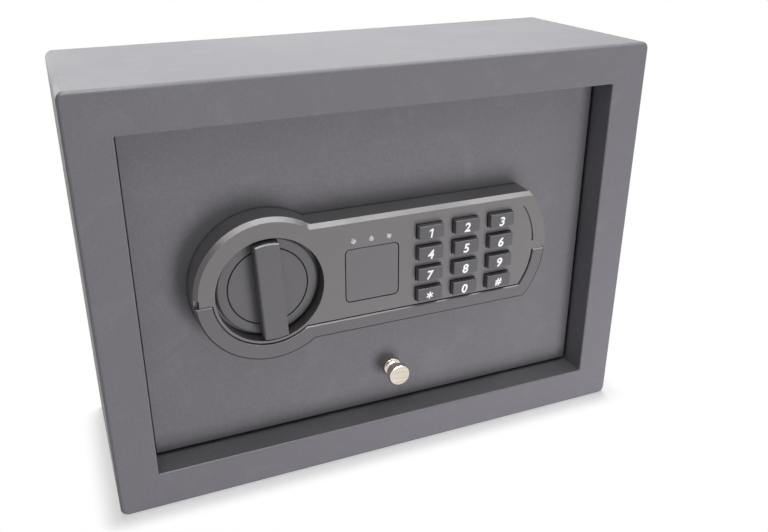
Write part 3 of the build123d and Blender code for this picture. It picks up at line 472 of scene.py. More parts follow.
@dataclass(frozen=True)
class PowderCoat(Finish):
    """Fine textured powder coat on sheet steel."""

    colour: Colour = (105, 103, 109)
    grain: float = 1500.0
    depth: float = 0.07
    roughness: float = 0.56
    fleck_lift: float = 1.28
    dust: Colour = (150, 150, 154)
    dust_share: float = 0.1
    # the last three values paint shade into crevices and inner corners
    wear_and_shade: WearAndShade = WearAndShade(0.35, 1.7, 260.0, 0.0009, 0.15, 0.85, 0.0022)

    def lay(self, sheet: FinishSheet, groups: SurfaceGroups) -> None:
        """Lays grain and flecks, soft patches and dust, then the rubbed edges and the painted shade in
        crevices.

        Args:
            sheet: the finish's sheet.
            groups: the shared node groups.
        """
        grain = sheet.group(groups.grain, Grain=self.grain, Fleck=0.6)
        clouds = sheet.group(groups.clouds, Size=9.0, Smear=38.0)
        base = sheet.blend(grain["Flecks"], rgba(self.colour, 0.93), rgba(self.colour, self.fleck_lift))
        patchy = sheet.blend(sheet.share(clouds["Patch"], 0.16), base, rgba(self.colour, 1.2))
        dusty = sheet.blend(sheet.share(clouds["Smears"], self.dust_share), patchy, rgba(self.dust))
        sheet.wear_and_shade(dusty, self.colour, groups, self.wear_and_shade)
        rough = sheet.span(clouds["Patch"], 0, 1, self.roughness - 0.03, self.roughness + 0.05)
        sheet.set(Roughness=rough)
        sheet.bump(grain["Height"], self.depth, 0.75)


@dataclass(frozen=True)
class MouldedPlastic(Finish):
    """Satin plastic with a spark-eroded mould grain."""

    colour: Colour
    roughness: float = 0.42
    rub_share: float = 0.3
    coat: float = 0.0
    grain: float = 2600.0
    depth: float = 0.018
    # the last three values paint shade into crevices and inner corners
    wear_and_shade: WearAndShade = WearAndShade(0.3, 2.0, 420.0, 0.0004, 0.1, 0.9, 0.0008)

    def lay(self, sheet: FinishSheet, groups: SurfaceGroups) -> None:
        """Lays grain and smears, then the rubbed edges and the painted shade in crevices.

        Args:
            sheet: the finish's sheet.
            groups: the shared node groups.
        """
        grain = sheet.group(groups.grain, Grain=self.grain, Fleck=0.35)
        clouds = sheet.group(groups.clouds, Size=22.0, Smear=120.0)
        base = sheet.blend(grain["Flecks"], rgba(self.colour), rgba(self.colour, 1.12))
        handled = sheet.blend(sheet.share(clouds["Smears"], 0.12), base, rgba(self.colour, 1.5))
        sheet.wear_and_shade(handled, self.colour, groups, replace(self.wear_and_shade, rub=self.rub_share))
        rough = sheet.span(clouds["Patch"], 0, 1, self.roughness - 0.04, self.roughness + 0.06)
        sheet.set(Roughness=rough, Coat_Weight=self.coat, Coat_Roughness=0.25)
        sheet.bump(grain["Height"], self.depth, 0.8)


@dataclass(frozen=True)
class Metal(Finish):
    """Bare, plated or turned metal with streaks along its work."""

    colour: Colour
    roughness: float
    fineness: float = 1600.0
    length: float = 60.0
    depth: float = 0.006
    tarnish: float = 0.2

    def lay(self, sheet: FinishSheet, groups: SurfaceGroups) -> None:
        """Lays the streaks and the dull patches.

        Args:
            sheet: the finish's sheet.
            groups: the shared node groups.
        """
        brush = sheet.group(groups.brush, Length=self.length, Fineness=self.fineness)
        patch = sheet.group(groups.clouds, Size=45.0, Smear=240.0)["Patch"]
        toned = sheet.blend(brush["Tone"], rgba(self.colour, 0.92), rgba(self.colour, 1.04))
        dull = sheet.blend(sheet.share(patch, self.tarnish), toned, rgba(self.colour, 0.6))
        rough = sheet.span(patch, 0, 1, self.roughness * 0.85, self.roughness * 1.25)
        sheet.set(Base_Color=dull, Roughness=rough, Metallic=1.0)
        sheet.bump(brush["Height"], self.depth, 0.6)


@dataclass(frozen=True)
class Felt(Finish):
    """Short needled felt."""

    colour: Colour = (48, 48, 52)

    def lay(self, sheet: FinishSheet, groups: SurfaceGroups) -> None:
        """Lays the fibres and trodden patches.

        Args:
            sheet: the finish's sheet.
            groups: the shared node groups.
        """
        fibre = sheet.group(groups.grain, Grain=1300.0, Fleck=0.9)
        patch = sheet.group(groups.clouds, Size=18.0, Smear=160.0)["Patch"]
        base = sheet.blend(fibre["Flecks"], rgba(self.colour, 0.7), rgba(self.colour, 1.7))
        sheet.set(Base_Color=sheet.blend(sheet.share(patch, 0.3), base, rgba(self.colour, 1.4)))
        sheet.set(Roughness=0.95, Sheen_Weight=0.35, Sheen_Roughness=0.4)
        sheet.bump(fibre["Height"], 0.35, 1.0)


@dataclass(frozen=True)
class ClearLens(Finish):
    """Clear moulded plastic of the lamps."""

    colour: Colour = (226, 228, 232)

    def lay(self, sheet: FinishSheet, groups: SurfaceGroups) -> None:
        """Lays uneven clear plastic.

        Args:
            sheet: the finish's sheet.
            groups: the shared node groups.
        """
        clouds = sheet.group(groups.clouds, Size=600.0, Smear=900.0)
        sheet.set(Base_Color=sheet.blend(clouds["Patch"], rgba(self.colour, 0.75), rgba(self.colour)))
        sheet.set(Roughness=sheet.span(clouds["Smears"], 0, 1, 0.12, 0.3))
        sheet.set(Transmission_Weight=0.35, IOR=1.49, Coat_Weight=0.4, Coat_Roughness=0.08)


@dataclass(frozen=True)
class Ink(Finish):
    """Printed marking, slightly uneven."""

    colour: Colour = (236, 236, 238)

    def lay(self, sheet: FinishSheet, groups: SurfaceGroups) -> None:
        """Lays the flecked ink."""
        flecks = sheet.group(groups.grain, Grain=3000.0, Fleck=0.3)["Flecks"]
        sheet.set(Base_Color=sheet.blend(flecks, rgba(self.colour), rgba(self.colour, 0.86)), Roughness=0.6)


@dataclass(frozen=True)
class Laminate(Finish):
    """Lacquered circuit board with its copper tracks showing through."""

    colour: Colour = (22, 92, 48)

    def lay(self, sheet: FinishSheet, groups: SurfaceGroups) -> None:
        """Lays the tracks under the lacquer.

        Args:
            sheet: the finish's sheet.
            groups: the shared node groups.
        """
        patch = sheet.group(groups.clouds, Size=40.0, Smear=120.0)["Patch"]
        pattern = {"Vector": sheet.place, "Scale": 90.0, "Mortar Size": 0.06}
        tracks = sheet.add("ShaderNodeTexBrick", pattern).outputs["Fac"]
        base = sheet.blend(tracks, rgba(self.colour), rgba(self.colour, 1.9))
        sheet.set(Base_Color=sheet.blend(sheet.share(patch, 0.3), base, rgba(self.colour, 0.6)))
        sheet.set(Roughness=0.35, Coat_Weight=0.5, Coat_Roughness=0.15)


class Finishes:
    """All finishes of the safe, by the record's slot, plus those that only the looks need."""

    def __init__(self) -> None:
        """Builds the groups and one material for each finish."""
        groups = SurfaceGroups()
        wanted: dict[Slot, Finish] = {
            Slot.BODY_PAINT: PowderCoat("body_powder_coat"),
            Slot.DOOR_PAINT: PowderCoat("door_powder_coat", colour=(103, 101, 106)),
            Slot.CASE_PAINT: PowderCoat("case_powder_coat", colour=(70, 70, 75)),
            Slot.FELT: Felt("needled_felt"),
            Slot.HINGE_STEEL: Metal("hinge_zinc_plate", (196, 196, 200), 0.36),
            Slot.PANEL: MouldedPlastic("panel_satin", (110, 107, 109)),
            Slot.TRIM: MouldedPlastic("trim_satin", (98, 95, 99)),
            Slot.DIAL: MouldedPlastic("dial_satin", (94, 92, 95)),
            Slot.COVER: MouldedPlastic("cover_satin", (104, 102, 105)),
            Slot.KEY: MouldedPlastic("key_satin", (85, 83, 87), roughness=0.4, rub_share=0.45),
            Slot.LAMP: ClearLens("lamp_clear_plastic"),
            Slot.MAT: MouldedPlastic("contact_rubber", (196, 196, 192), roughness=0.7),
            Slot.BOARD: Laminate("board_lacquer"),
            Slot.KNOB: Metal("polished_nickel", (226, 216, 202), 0.16, depth=0.002, tarnish=0.12),
            Slot.LOCK_STEEL: Metal("polished_steel", (210, 210, 213), 0.22, depth=0.002),
            Slot.SHEET_STEEL: Metal("zinc_plated_sheet", (188, 190, 194), 0.4),
            Slot.CAST_ZINC: Metal(
                "cast_zinc", (176, 177, 180), 0.5, fineness=900.0, length=700.0, depth=0.02
            ),
            Slot.BRASS: Metal("turned_brass", (214, 178, 104), 0.26),
            Slot.COIL: Metal("enamelled_copper", (186, 104, 58), 0.3),
            Slot.BOX: MouldedPlastic("box_black", (44, 44, 47), roughness=0.5),
            Slot.CELL: MouldedPlastic("cell_wrap", (52, 55, 60), roughness=0.3, coat=0.3),
        }
        self._by_slot = {slot: finish.build(groups) for slot, finish in wanted.items()}
        self.ink = Ink("white_ink").build(groups)
        # painted shade: a dark finish for chamfers, grooves and a rolled end that fall in shade
        self.seam = MouldedPlastic("dark_seam", (38, 36, 39), roughness=0.6, rub_share=0.0).build(groups)
        # painted shade on the deep wall of the bowl round the dial
        self.dish = MouldedPlastic("dish_plastic", (66, 64, 66), roughness=0.5, rub_share=0.2).build(groups)

    def __getitem__(self, slot: Slot) -> Material:
        """The material of one slot."""
        return self._by_slot[slot]


def linked(name: str, data: ID) -> Object:
    """Puts data into the scene as an object at the origin.

    Args:
        name: the object's name.
        data: its mesh, curve, lamp or camera.

    Returns:
        The new object.
    """
    piece = bpy.data.objects.new(name, data)
    bpy.context.scene.collection.objects.link(piece)
    return piece


def add_piece(name: str, mesh: Mesh, materials: Sequence[Material]) -> Object:
    """Puts a mesh into the scene with its materials, each face still pointing at its own.

    Args:
        name: the piece's name.
        mesh: its mesh, in place in the frame.
        materials: what fills its material slots.

    Returns:
        The new object.
    """
    for place, material in enumerate(materials):
        if place == len(mesh.materials):
            mesh.materials.append(material)
        mesh.materials[place] = material
    return linked(name, mesh)


def plain_mesh(piece: Object, name: str) -> Mesh:
    """Turns an object into a mesh, with its modifiers and curves made into faces, and takes it away.

    Args:
        piece: the object.
        name: name of the mesh.

    Returns:
        The plain mesh.
    """
    graph = bpy.context.evaluated_depsgraph_get()
    mesh = bpy.data.meshes.new_from_object(piece.evaluated_get(graph), depsgraph=graph)
    mesh.name = name
    bpy.data.objects.remove(piece)
    return mesh


def as_mesh(shape: BMesh, name: str) -> Mesh:
    """Turns a bmesh into a mesh and frees it.

    Args:
        shape: the bmesh.
        name: name of the mesh.

    Returns:
        The new mesh.
    """
    mesh = bpy.data.meshes.new(name)
    shape.to_mesh(mesh)
    shape.free()
    return mesh


def smooth(mesh: Mesh, angle: float = 32.0) -> Mesh:
    """Shades a mesh smooth up to an angle between faces.

    Args:
        mesh: the mesh.
        angle: the angle, in degrees.

    Returns:
        The same mesh.
    """
    mesh.shade_smooth()
    mesh.set_sharp_from_angle(angle=math.radians(angle))
    return mesh


def moved(mesh: Mesh, matrix: Matrix) -> Mesh:
    """Moves a mesh's points by a matrix.

    Args:
        mesh: the mesh.
        matrix: the move.

    Returns:
        The same mesh.
    """
    mesh.transform(matrix)
    mesh.update()
    return mesh


def closed(shape: BMesh, name: str, angle: float) -> Mesh:
    """Turns a closed bmesh into a smooth mesh whose faces point outward.

    Args:
        shape: the closed bmesh.
        name: name of the mesh.
        angle: shading angle in degrees.

    Returns:
        The new mesh.
    """
    bmesh.ops.remove_doubles(shape, verts=shape.verts, dist=1e-7)
    bmesh.ops.recalc_face_normals(shape, faces=shape.faces)
    return smooth(as_mesh(shape, name), angle)


def joined_copy(node: str) -> BMesh:
    """Copies a CAD node's mesh and joins its loose triangles.

    Args:
        node: the CAD node.

    Returns:
        The copy.
    """
    shape = bmesh.new()
    shape.from_mesh(FRAME["nodes"][node].data)
    bmesh.ops.remove_doubles(shape, verts=shape.verts, dist=JOIN_DISTANCE)
    return shape


@dataclass(frozen=True)
class Softening:
    """How a copy of a solid gets its worn or moulded edges."""

    width: float
    segments: int = 2
    angle: float = 28.0

    def copy_of(self, node: str, name: str, shape_first: Shaper | None = None) -> Mesh:
        """Copies a CAD node and rounds its edges.

        Args:
            node: the CAD node.
            name: name of the new mesh.
            shape_first: what changes the joined shape before its edges are rounded.

        Returns:
            The softened mesh.
        """
        shape = joined_copy(node)
        whole = {"verts": shape.verts, "edges": shape.edges}
        bmesh.ops.dissolve_limit(shape, angle_limit=FLAT_ANGLE, delimit={"NORMAL"}, **whole)
        if shape_first:
            shape_first(shape)
        draft = linked(name + "_draft", smooth(as_mesh(shape, name), self.angle))
        bevel = draft.modifiers.new("edges", "BEVEL")
        bevel.width = self.width * MM
        bevel.segments = self.segments
        bevel.limit_method = "ANGLE"
        bevel.angle_limit = math.radians(self.angle)
        bevel.use_clamp_overlap = True
        flats = draft.modifiers.new("flats", "WEIGHTED_NORMAL")
        flats.mode = "FACE_AREA"
        flats.weight = 100
        flats.keep_sharp = True
        return plain_mesh(draft, name)


def front_chamfers(shape: BMesh) -> list[tuple[BMFace, Vector]]:
    """Finds the sloping faces round a shape's front.

    Args:
        shape: the shape.

    Returns:
        The faces, each with the direction in the front plane that it leans to.
    """
    found = []
    for face in shape.faces:
        lean = Vector((face.normal.x, 0.0, face.normal.z))
        if -0.9 < face.normal.y < -0.3 and lean.length:
            found.append((face, lean.normalized()))
    return found


def widen_chamfers(
    shape: BMesh, chamfers: Sequence[tuple[BMFace, Vector]], inward: float, back: float
) -> None:
    """Makes chosen front chamfers wider.

    Args:
        shape: the shape that is changed.
        chamfers: the faces, with the directions that they lean to.
        inward: how far their front corners move in from the outline, in mm.
        back: how far their rear corners move back, in mm.
    """
    front = min(vertex.co.y for vertex in shape.verts)
    leans: dict[BMVert, Vector] = {}
    for face, lean in chamfers:
        for vertex in face.verts:
            leans[vertex] = leans.get(vertex, Vector()) + lean
    for vertex, lean in leans.items():
        if vertex.co.y - front < FRONT_TOLERANCE:
            vertex.co -= inward * MM * lean.normalized()
        else:
            vertex.co.y += back * MM


def front_edges(shape: BMesh) -> list[tuple[BMEdge, Vector, Vector]]:
    """Finds the edges round a shape's frontmost faces.

    Args:
        shape: the shape.

    Returns:
        The edges, each with its middle and the direction that its wall faces.
    """
    front = min(vertex.co.y for vertex in shape.verts)
    found = []
    for edge in shape.edges:
        behind = any(vertex.co.y - front > FRONT_TOLERANCE for vertex in edge.verts)
        if behind or len(edge.link_faces) != 2:
            continue
        wall = max(edge.link_faces, key=lambda face: face.normal.y)
        if abs(wall.normal.y) < 0.1:
            found.append((edge, (edge.verts[0].co + edge.verts[1].co) / 2, wall.normal.copy()))
    return found


def roll_edges(shape: BMesh, edges: list[BMEdge], radius: float, slot: int = -1) -> None:
    """Rolls chosen edges over.

    Args:
        shape: the shape that is changed.
        edges: the edges.
        radius: radius of the roll, in mm.
        slot: material slot of the new faces, or -1 for that of their neighbours.
    """
    choice = {"offset_type": "OFFSET", "affect": "EDGES", "clamp_overlap": True, "material": slot}
    bmesh.ops.bevel(shape, geom=edges, offset=radius * MM, segments=4, profile=0.5, **choice)


def turned(profile: Line, name: str, sides: int = 64, angle: float = 32.0) -> Mesh:
    """Turns a profile round the Z axis, closed at both poles.

    Args:
        profile: (radius, height) pairs in mm, from the lower pole to the upper one.
        name: name of the mesh.
        sides: how many faces go round.
        angle: shading angle in degrees.

    Returns:
        The turned mesh.
    """
    shape = bmesh.new()
    rings: list[list[BMVert]] = []
    for radius, height in profile:
        turns = [2 * math.pi * step / sides for step in range(sides if radius else 1)]
        ring = [(radius * math.cos(turn) * MM, radius * math.sin(turn) * MM, height * MM) for turn in turns]
        rings.append([shape.verts.new(point) for point in ring])
    for lower, upper in zip(rings, rings[1:]):
        for step in range(sides):
            following = (step + 1) % sides
            corners = [lower[step % len(lower)], lower[following % len(lower)]]
            corners += [upper[following % len(upper)], upper[step % len(upper)]]
            unique = list(dict.fromkeys(corners))
            if len(unique) > 2:
                shape.faces.new(unique)
    return closed(shape, name, angle)


def rounded_corner(radius: float, height: float, edge: float, steps: int = 5) -> Line:
    """Quarter round between a side and a flat top.

    Args:
        radius: outer radius of the side.
        height: height of the flat top.
        edge: radius of the round.
        steps: points along it.

    Returns:
        (radius, height) pairs from the side up to the top.
    """
    points = []
    for step in range(steps + 1):
        turn = math.pi / 2 * step / steps
        points.append((radius - edge + edge * math.cos(turn), height - edge + edge * math.sin(turn)))
    return points


def rounded_rectangle(width: float, height: float, corner: float, steps: int = 6) -> Line:
    """Outline of a rectangle with round corners, round the origin.

    Args:
        width: full width.
        height: full height.
        corner: corner radius.
        steps: points along each corner, less one.

    Returns:
        The points, anticlockwise.
    """
    points = []
    for quarter, (side, rise) in enumerate(((1, 1), (-1, 1), (-1, -1), (1, -1))):
        middle_x = side * (width / 2 - corner)
        middle_z = rise * (height / 2 - corner)
        for step in range(steps + 1):
            turn = math.pi / 2 * (quarter + step / steps)
            points.append((middle_x + corner * math.cos(turn), middle_z + corner * math.sin(turn)))
    return points


def lofted(rings: Sequence[Sequence[Place]], name: str, angle: float = 32.0) -> Mesh:
    """Skins closed rings of equal length and caps both ends.

    Args:
        rings: points of each ring, in metres.
        name: name of the mesh.
        angle: shading angle in degrees.

    Returns:
        The closed mesh.
    """
    shape = bmesh.new()
    rows = [[shape.verts.new(point) for point in ring] for ring in rings]
    count = len(rows[0])
    for lower, upper in zip(rows, rows[1:]):
        for step in range(count):
            following = (step + 1) % count
            shape.faces.new((lower[step], lower[following], upper[following], upper[step]))
    shape.faces.new(rows[0][::-1])
    shape.faces.new(rows[-1])
    return closed(shape, name, angle)


def slab(outline: Line, low: float, high: float, name: str) -> Mesh:
    """Makes a plate of an outline between two heights, in mm."""
    return lofted([[(x * MM, y * MM, rise * MM) for x, y in outline] for rise in (low, high)], name)


def joined(name: str, parts: Sequence[Mesh], one_finish: bool = False) -> Mesh:
    """Joins meshes in place.

    Args:
        name: name of the mesh.
        parts: the meshes.
        one_finish: whether all faces point at the first material, or each part at its own.

    Returns:
        One mesh.
    """
    shape = bmesh.new()
    for number, part in enumerate(parts):
        before = len(shape.faces)
        shape.from_mesh(part)
        shape.faces.ensure_lookup_table()
        for face in shape.faces[before:]:
            face.material_index = 0 if one_finish else number
    return as_mesh(shape, name)


def middle_of(node: str) -> Vector:
    """Middle of a CAD node's box."""
    low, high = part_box(node)
    return (low + high) / 2


def outward_from(node: str) -> Matrix:
    """Place of a turned piece that starts at a node's rear face and points to the front.

    Args:
        node: the CAD node.

    Returns:
        The matrix of that place.
    """
    middle = middle_of(node)
    middle.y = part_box(node)[1].y
    return Matrix.Translation(middle) @ Matrix.Rotation(math.pi / 2, 4, "X")


def lengthwise(x: float, middle: Vector, turned_about: bool = False) -> Matrix:
    """Place of a turned piece that starts at x and points to the right, or to the left if turned about."""
    direction = Matrix.Rotation(math.pi, 4, "Z") if turned_about else Matrix.Identity(4)
    return Matrix.Translation((x, middle.y, middle.z)) @ direction @ Matrix.Rotation(math.pi / 2, 4, "Y")


@dataclass(frozen=True)
class Winding:
    """Wire wound up the Z axis; sizes in mm, start and end being radii."""

    turns: float
    start: float
    end: float
    height: float
    wire: float


class Repeats:
    """Geometry node trees that place or wind what repeats."""

    def __init__(self) -> None:
        """Builds both trees."""
        self.placer = self._placer()
        self.winder = self._winder()

    @staticmethod
    def _dressed(sheet: GroupSheet, geometry: NodeSocket) -> NodeTree:
        """Ends a tree: makes its copies real and gives them the tree's material.

        Args:
            sheet: the tree's sheet.
            geometry: the copies.

        Returns:
            The finished tree.
        """
        real = sheet.add("GeometryNodeRealizeInstances", {0: geometry})
        inputs = {"Geometry": real.outputs[0], "Material": sheet.into["Material"]}
        return sheet.put(Geometry=sheet.add("GeometryNodeSetMaterial", inputs).outputs[0])

    def _placer(self) -> NodeTree:
        """Tree that puts one piece on each point, turned at random within a limit.

        Returns:
            The finished tree.
        """
        inputs = {"Points": "Geometry", "Piece": "Object", "Axis": "Vector", "Turn": 0.0, "Seed": 3}
        inputs["Material"] = "Material"
        sheet = GroupSheet("place_on_points", "GeometryNodeTree", inputs, {"Geometry": "Geometry"})
        into = sheet.into
        shape = sheet.add("GeometryNodeObjectInfo", {"Object": into["Piece"]}, transform_space="ORIGINAL")
        limits = {3: into["Turn"], "Seed": into["Seed"]}
        chance = sheet.add("FunctionNodeRandomValue", limits, data_type="FLOAT")
        turning = {"Axis": into["Axis"], "Angle": chance.outputs[1]}
        turn = sheet.add("FunctionNodeAxisAngleToRotation", turning).outputs[0]
        copies = {"Points": into["Points"], "Instance": shape.outputs["Geometry"], "Rotation": turn}
        return self._dressed(sheet, sheet.add("GeometryNodeInstanceOnPoints", copies).outputs["Instances"])

    def _winder(self) -> NodeTree:
        """Tree that winds wire round the Z axis, straight or conical.

        Returns:
            The finished tree.
        """
        inputs = {"Points": "Geometry", "Turns": 5.0, "Start": 0.004, "End": 0.003, "Height": 0.004}
        inputs |= {"Wire": 0.0003, "Material": "Material"}
        sheet = GroupSheet("wind_wire", "GeometryNodeTree", inputs, {"Geometry": "Geometry"})
        into = sheet.into
        spiral = {"Resolution": 28, "Rotations": into["Turns"], "Height": into["Height"]}
        spiral |= {"Start Radius": into["Start"], "End Radius": into["End"]}
        path = sheet.add("GeometryNodeCurveSpiral", spiral).outputs["Curve"]
        circle = {"Resolution": 8, "Radius": into["Wire"]}
        section = sheet.add("GeometryNodeCurvePrimitiveCircle", circle).outputs["Curve"]
        sweep = {"Curve": path, "Profile Curve": section, "Fill Caps": True}
        return self._dressed(sheet, sheet.add("GeometryNodeCurveToMesh", sweep).outputs[0])

    @staticmethod
    def _run(tree: NodeTree, points: Sequence[Place], name: str, values: dict) -> Mesh:
        """Runs a tree on a few points and hands back the plain mesh.

        Args:
            tree: the geometry node tree.
            points: vertices that the tree starts from.
            name: name of the mesh.
            values: the tree's inputs by name.

        Returns:
            The plain mesh.
        """
        base = bpy.data.meshes.new(name + "_points")
        base.from_pydata(list(points), [], [])
        holder = linked(name + "_points", base)
        run = holder.modifiers.new("repeat", "NODES")
        run.node_group = tree
        for item in tree.interface.items_tree:
            if item.in_out == "INPUT" and item.name in values:
                run[item.identifier] = values[item.name]
        return smooth(plain_mesh(holder, name), 40.0)

    def place(
        self,
        shape: Mesh,
        points: Sequence[Place],
        name: str,
        material: Material,
        turn: float = 0.0,
        seed: int = 3,
    ) -> Mesh:
        """Puts a shape on each point.

        Args:
            shape: the shape, round the origin.
            points: where it goes, in metres.
            name: name of the mesh.
            material: its finish.
            turn: largest random turn round the Y axis, in radians.
            seed: seed of the random turn.

        Returns:
            One plain mesh of all copies.
        """
        pattern = add_piece(name + "_pattern", shape, [material])
        values = {"Piece": pattern, "Axis": (0, 1, 0), "Turn": turn, "Seed": seed, "Material": material}
        mesh = self._run(self.placer, points, name, values)
        bpy.data.objects.remove(pattern)
        return mesh

    def wind(self, name: str, material: Material, winding: Winding) -> Mesh:
        """Winds wire from the origin up the Z axis.

        Args:
            name: name of the mesh.
            material: the wire's finish.
            winding: its turns and sizes.

        Returns:
            The wire as a plain mesh.
        """
        values = {"Turns": winding.turns, "Material": material}
        for size in ("start", "end", "height", "wire"):
            values[size.capitalize()] = getattr(winding, size) * MM
        return self._run(self.winder, [(0, 0, 0)], name, values)


@dataclass
class Assembly:
    """A sub-assembly that dresses its nodes in the shared finishes."""

    finishes: Finishes
    repeats: Repeats

    def dress(self, **slots: Slot) -> None:
        """Gives CAD nodes the finish of a slot.

        Args:
            **slots: the slot of each node, by the node's name.
        """
        for node, slot in slots.items():
            solid = FRAME["nodes"][node]
            if not solid.material_slots:
                solid.data.materials.append(self.finishes[slot])
            for holder in solid.material_slots:
                holder.material = self.finishes[slot]
            log.info("node %s wears %s", node, self.finishes[slot].name)

    def settle(
        self,
        name: str,
        mesh: Mesh,
        node: str,
        body: str,
        slot: Slot,
        materials: Sequence[Material] = (),
    ) -> None:
        """Puts a finished piece into the scene, on its body and for its CAD node.

        Args:
            name: the piece's name.
            mesh: its mesh, in place in the frame.
            node: the CAD node it stands for.
            body: the body it moves with.
            slot: the record's slot its finish comes from.
            materials: its finishes, where it has more than the slot's.
        """
        piece = add_piece(name, mesh, materials or [self.finishes[slot]])
        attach(piece, body)
        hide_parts(node)
        log.info("piece %s rides on %s, %d faces", piece.name, body, len(piece.data.polygons))

    def soften(
        self,
        node: str,
        kind: str,
        body: str,
        slot: Slot,
        softening: Softening,
        shape_first: Shaper | None = None,
        darker: Sequence[Material] = (),
    ) -> None:
        """Stands a copy with softened edges in for a CAD node.

        Args:
            node: the CAD node.
            kind: how it is finished, the last word of the piece's name.
            body: the body it moves with.
            slot: the record's slot its finish comes from.
            softening: its edges.
            shape_first: what changes its shape before its edges are rounded.
            darker: more finishes, that shape_first points faces at.
        """
        name = f"{node}_{kind}"
        mesh = softening.copy_of(node, name, shape_first)
        self.settle(name, mesh, node, body, slot, [self.finishes[slot], *darker])


@dataclass
class Body(Assembly):
    """Welded shell with its back, lining and hinge brackets."""

    shell_edge: Softening = Softening(0.55, 3)
    mouth_roll: float = 1.2

    def build(self) -> None:
        """Builds and dresses every piece of the body."""
        paint, steel = Slot.BODY_PAINT, Slot.HINGE_STEEL
        self.soften("body_shell", "coated", "safe_body", paint, self.shell_edge, self._roll_mouth)
        self.dress(back_panel=paint, door_stops=paint, felt_mat=Slot.FELT)
        self.dress(hinge_bracket_left=steel, hinge_bracket_right=steel, hinge_pins=steel)

    def _roll_mouth(self, shape: BMesh) -> None:
        """Rounds the shell's sheet where it turns in at the mouth.

        Args:
            shape: the joined shape, changed in place.
        """
        middle = middle_of("body_shell")
        inner = [edge for edge, place, out in front_edges(shape) if out.dot(middle - place) > 0]
        roll_edges(shape, inner, self.mouth_roll)


@dataclass
class Door(Assembly):
    """Door plate, its hinge ears and the pull knob."""

    plate_edge: Softening = Softening(0.3)
    knob_head_edge: float = 1.5
    knob_base_edge: float = 0.35
    # Shares of the knob's radius and length
    knob_base: float = 0.8
    knob_flange: float = 0.117
    knob_waist: tuple[tuple[float, float], ...] = (
        (0.6, 0.14), (0.5, 0.2), (0.45, 0.28), (0.45, 0.52),
        (0.52, 0.585), (0.62, 0.615), (0.94, 0.622), (1, 0.66),
    )

    def build(self) -> None:
        """Builds and dresses every piece of the bare door."""
        self.soften("door_plate", "coated", "door", Slot.DOOR_PAINT, self.plate_edge)
        self.dress(hinge_ear_left=Slot.HINGE_STEEL, hinge_ear_right=Slot.HINGE_STEEL)
        self.dress(knob_screw=Slot.SHEET_STEEL)
        self._knob()

    def _knob(self) -> None:
        """Builds the pull knob as a turned piece: base flange, waist and rounded head."""
        node, name = "pull_knob", "pull_knob_turned"
        low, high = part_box(node)
        radius, length = (high.x - low.x) / 2 / MM, (high.y - low.y) / MM
        base = self.knob_base * radius
        profile = [(0, 0), (base, 0)]
        profile += rounded_corner(base, self.knob_flange * length, self.knob_base_edge, 3)
        profile += [(share * radius, rise * length) for share, rise in self.knob_waist]
        profile += rounded_corner(radius, length - 0.06, self.knob_head_edge, 8)
        profile += [(0.7 * radius, length - 0.03), (0.4 * radius, length), (0, length)]
        mesh = moved(turned(profile, name, 72), outward_from(node))
        self.settle(name, mesh, node, "door", Slot.KNOB)


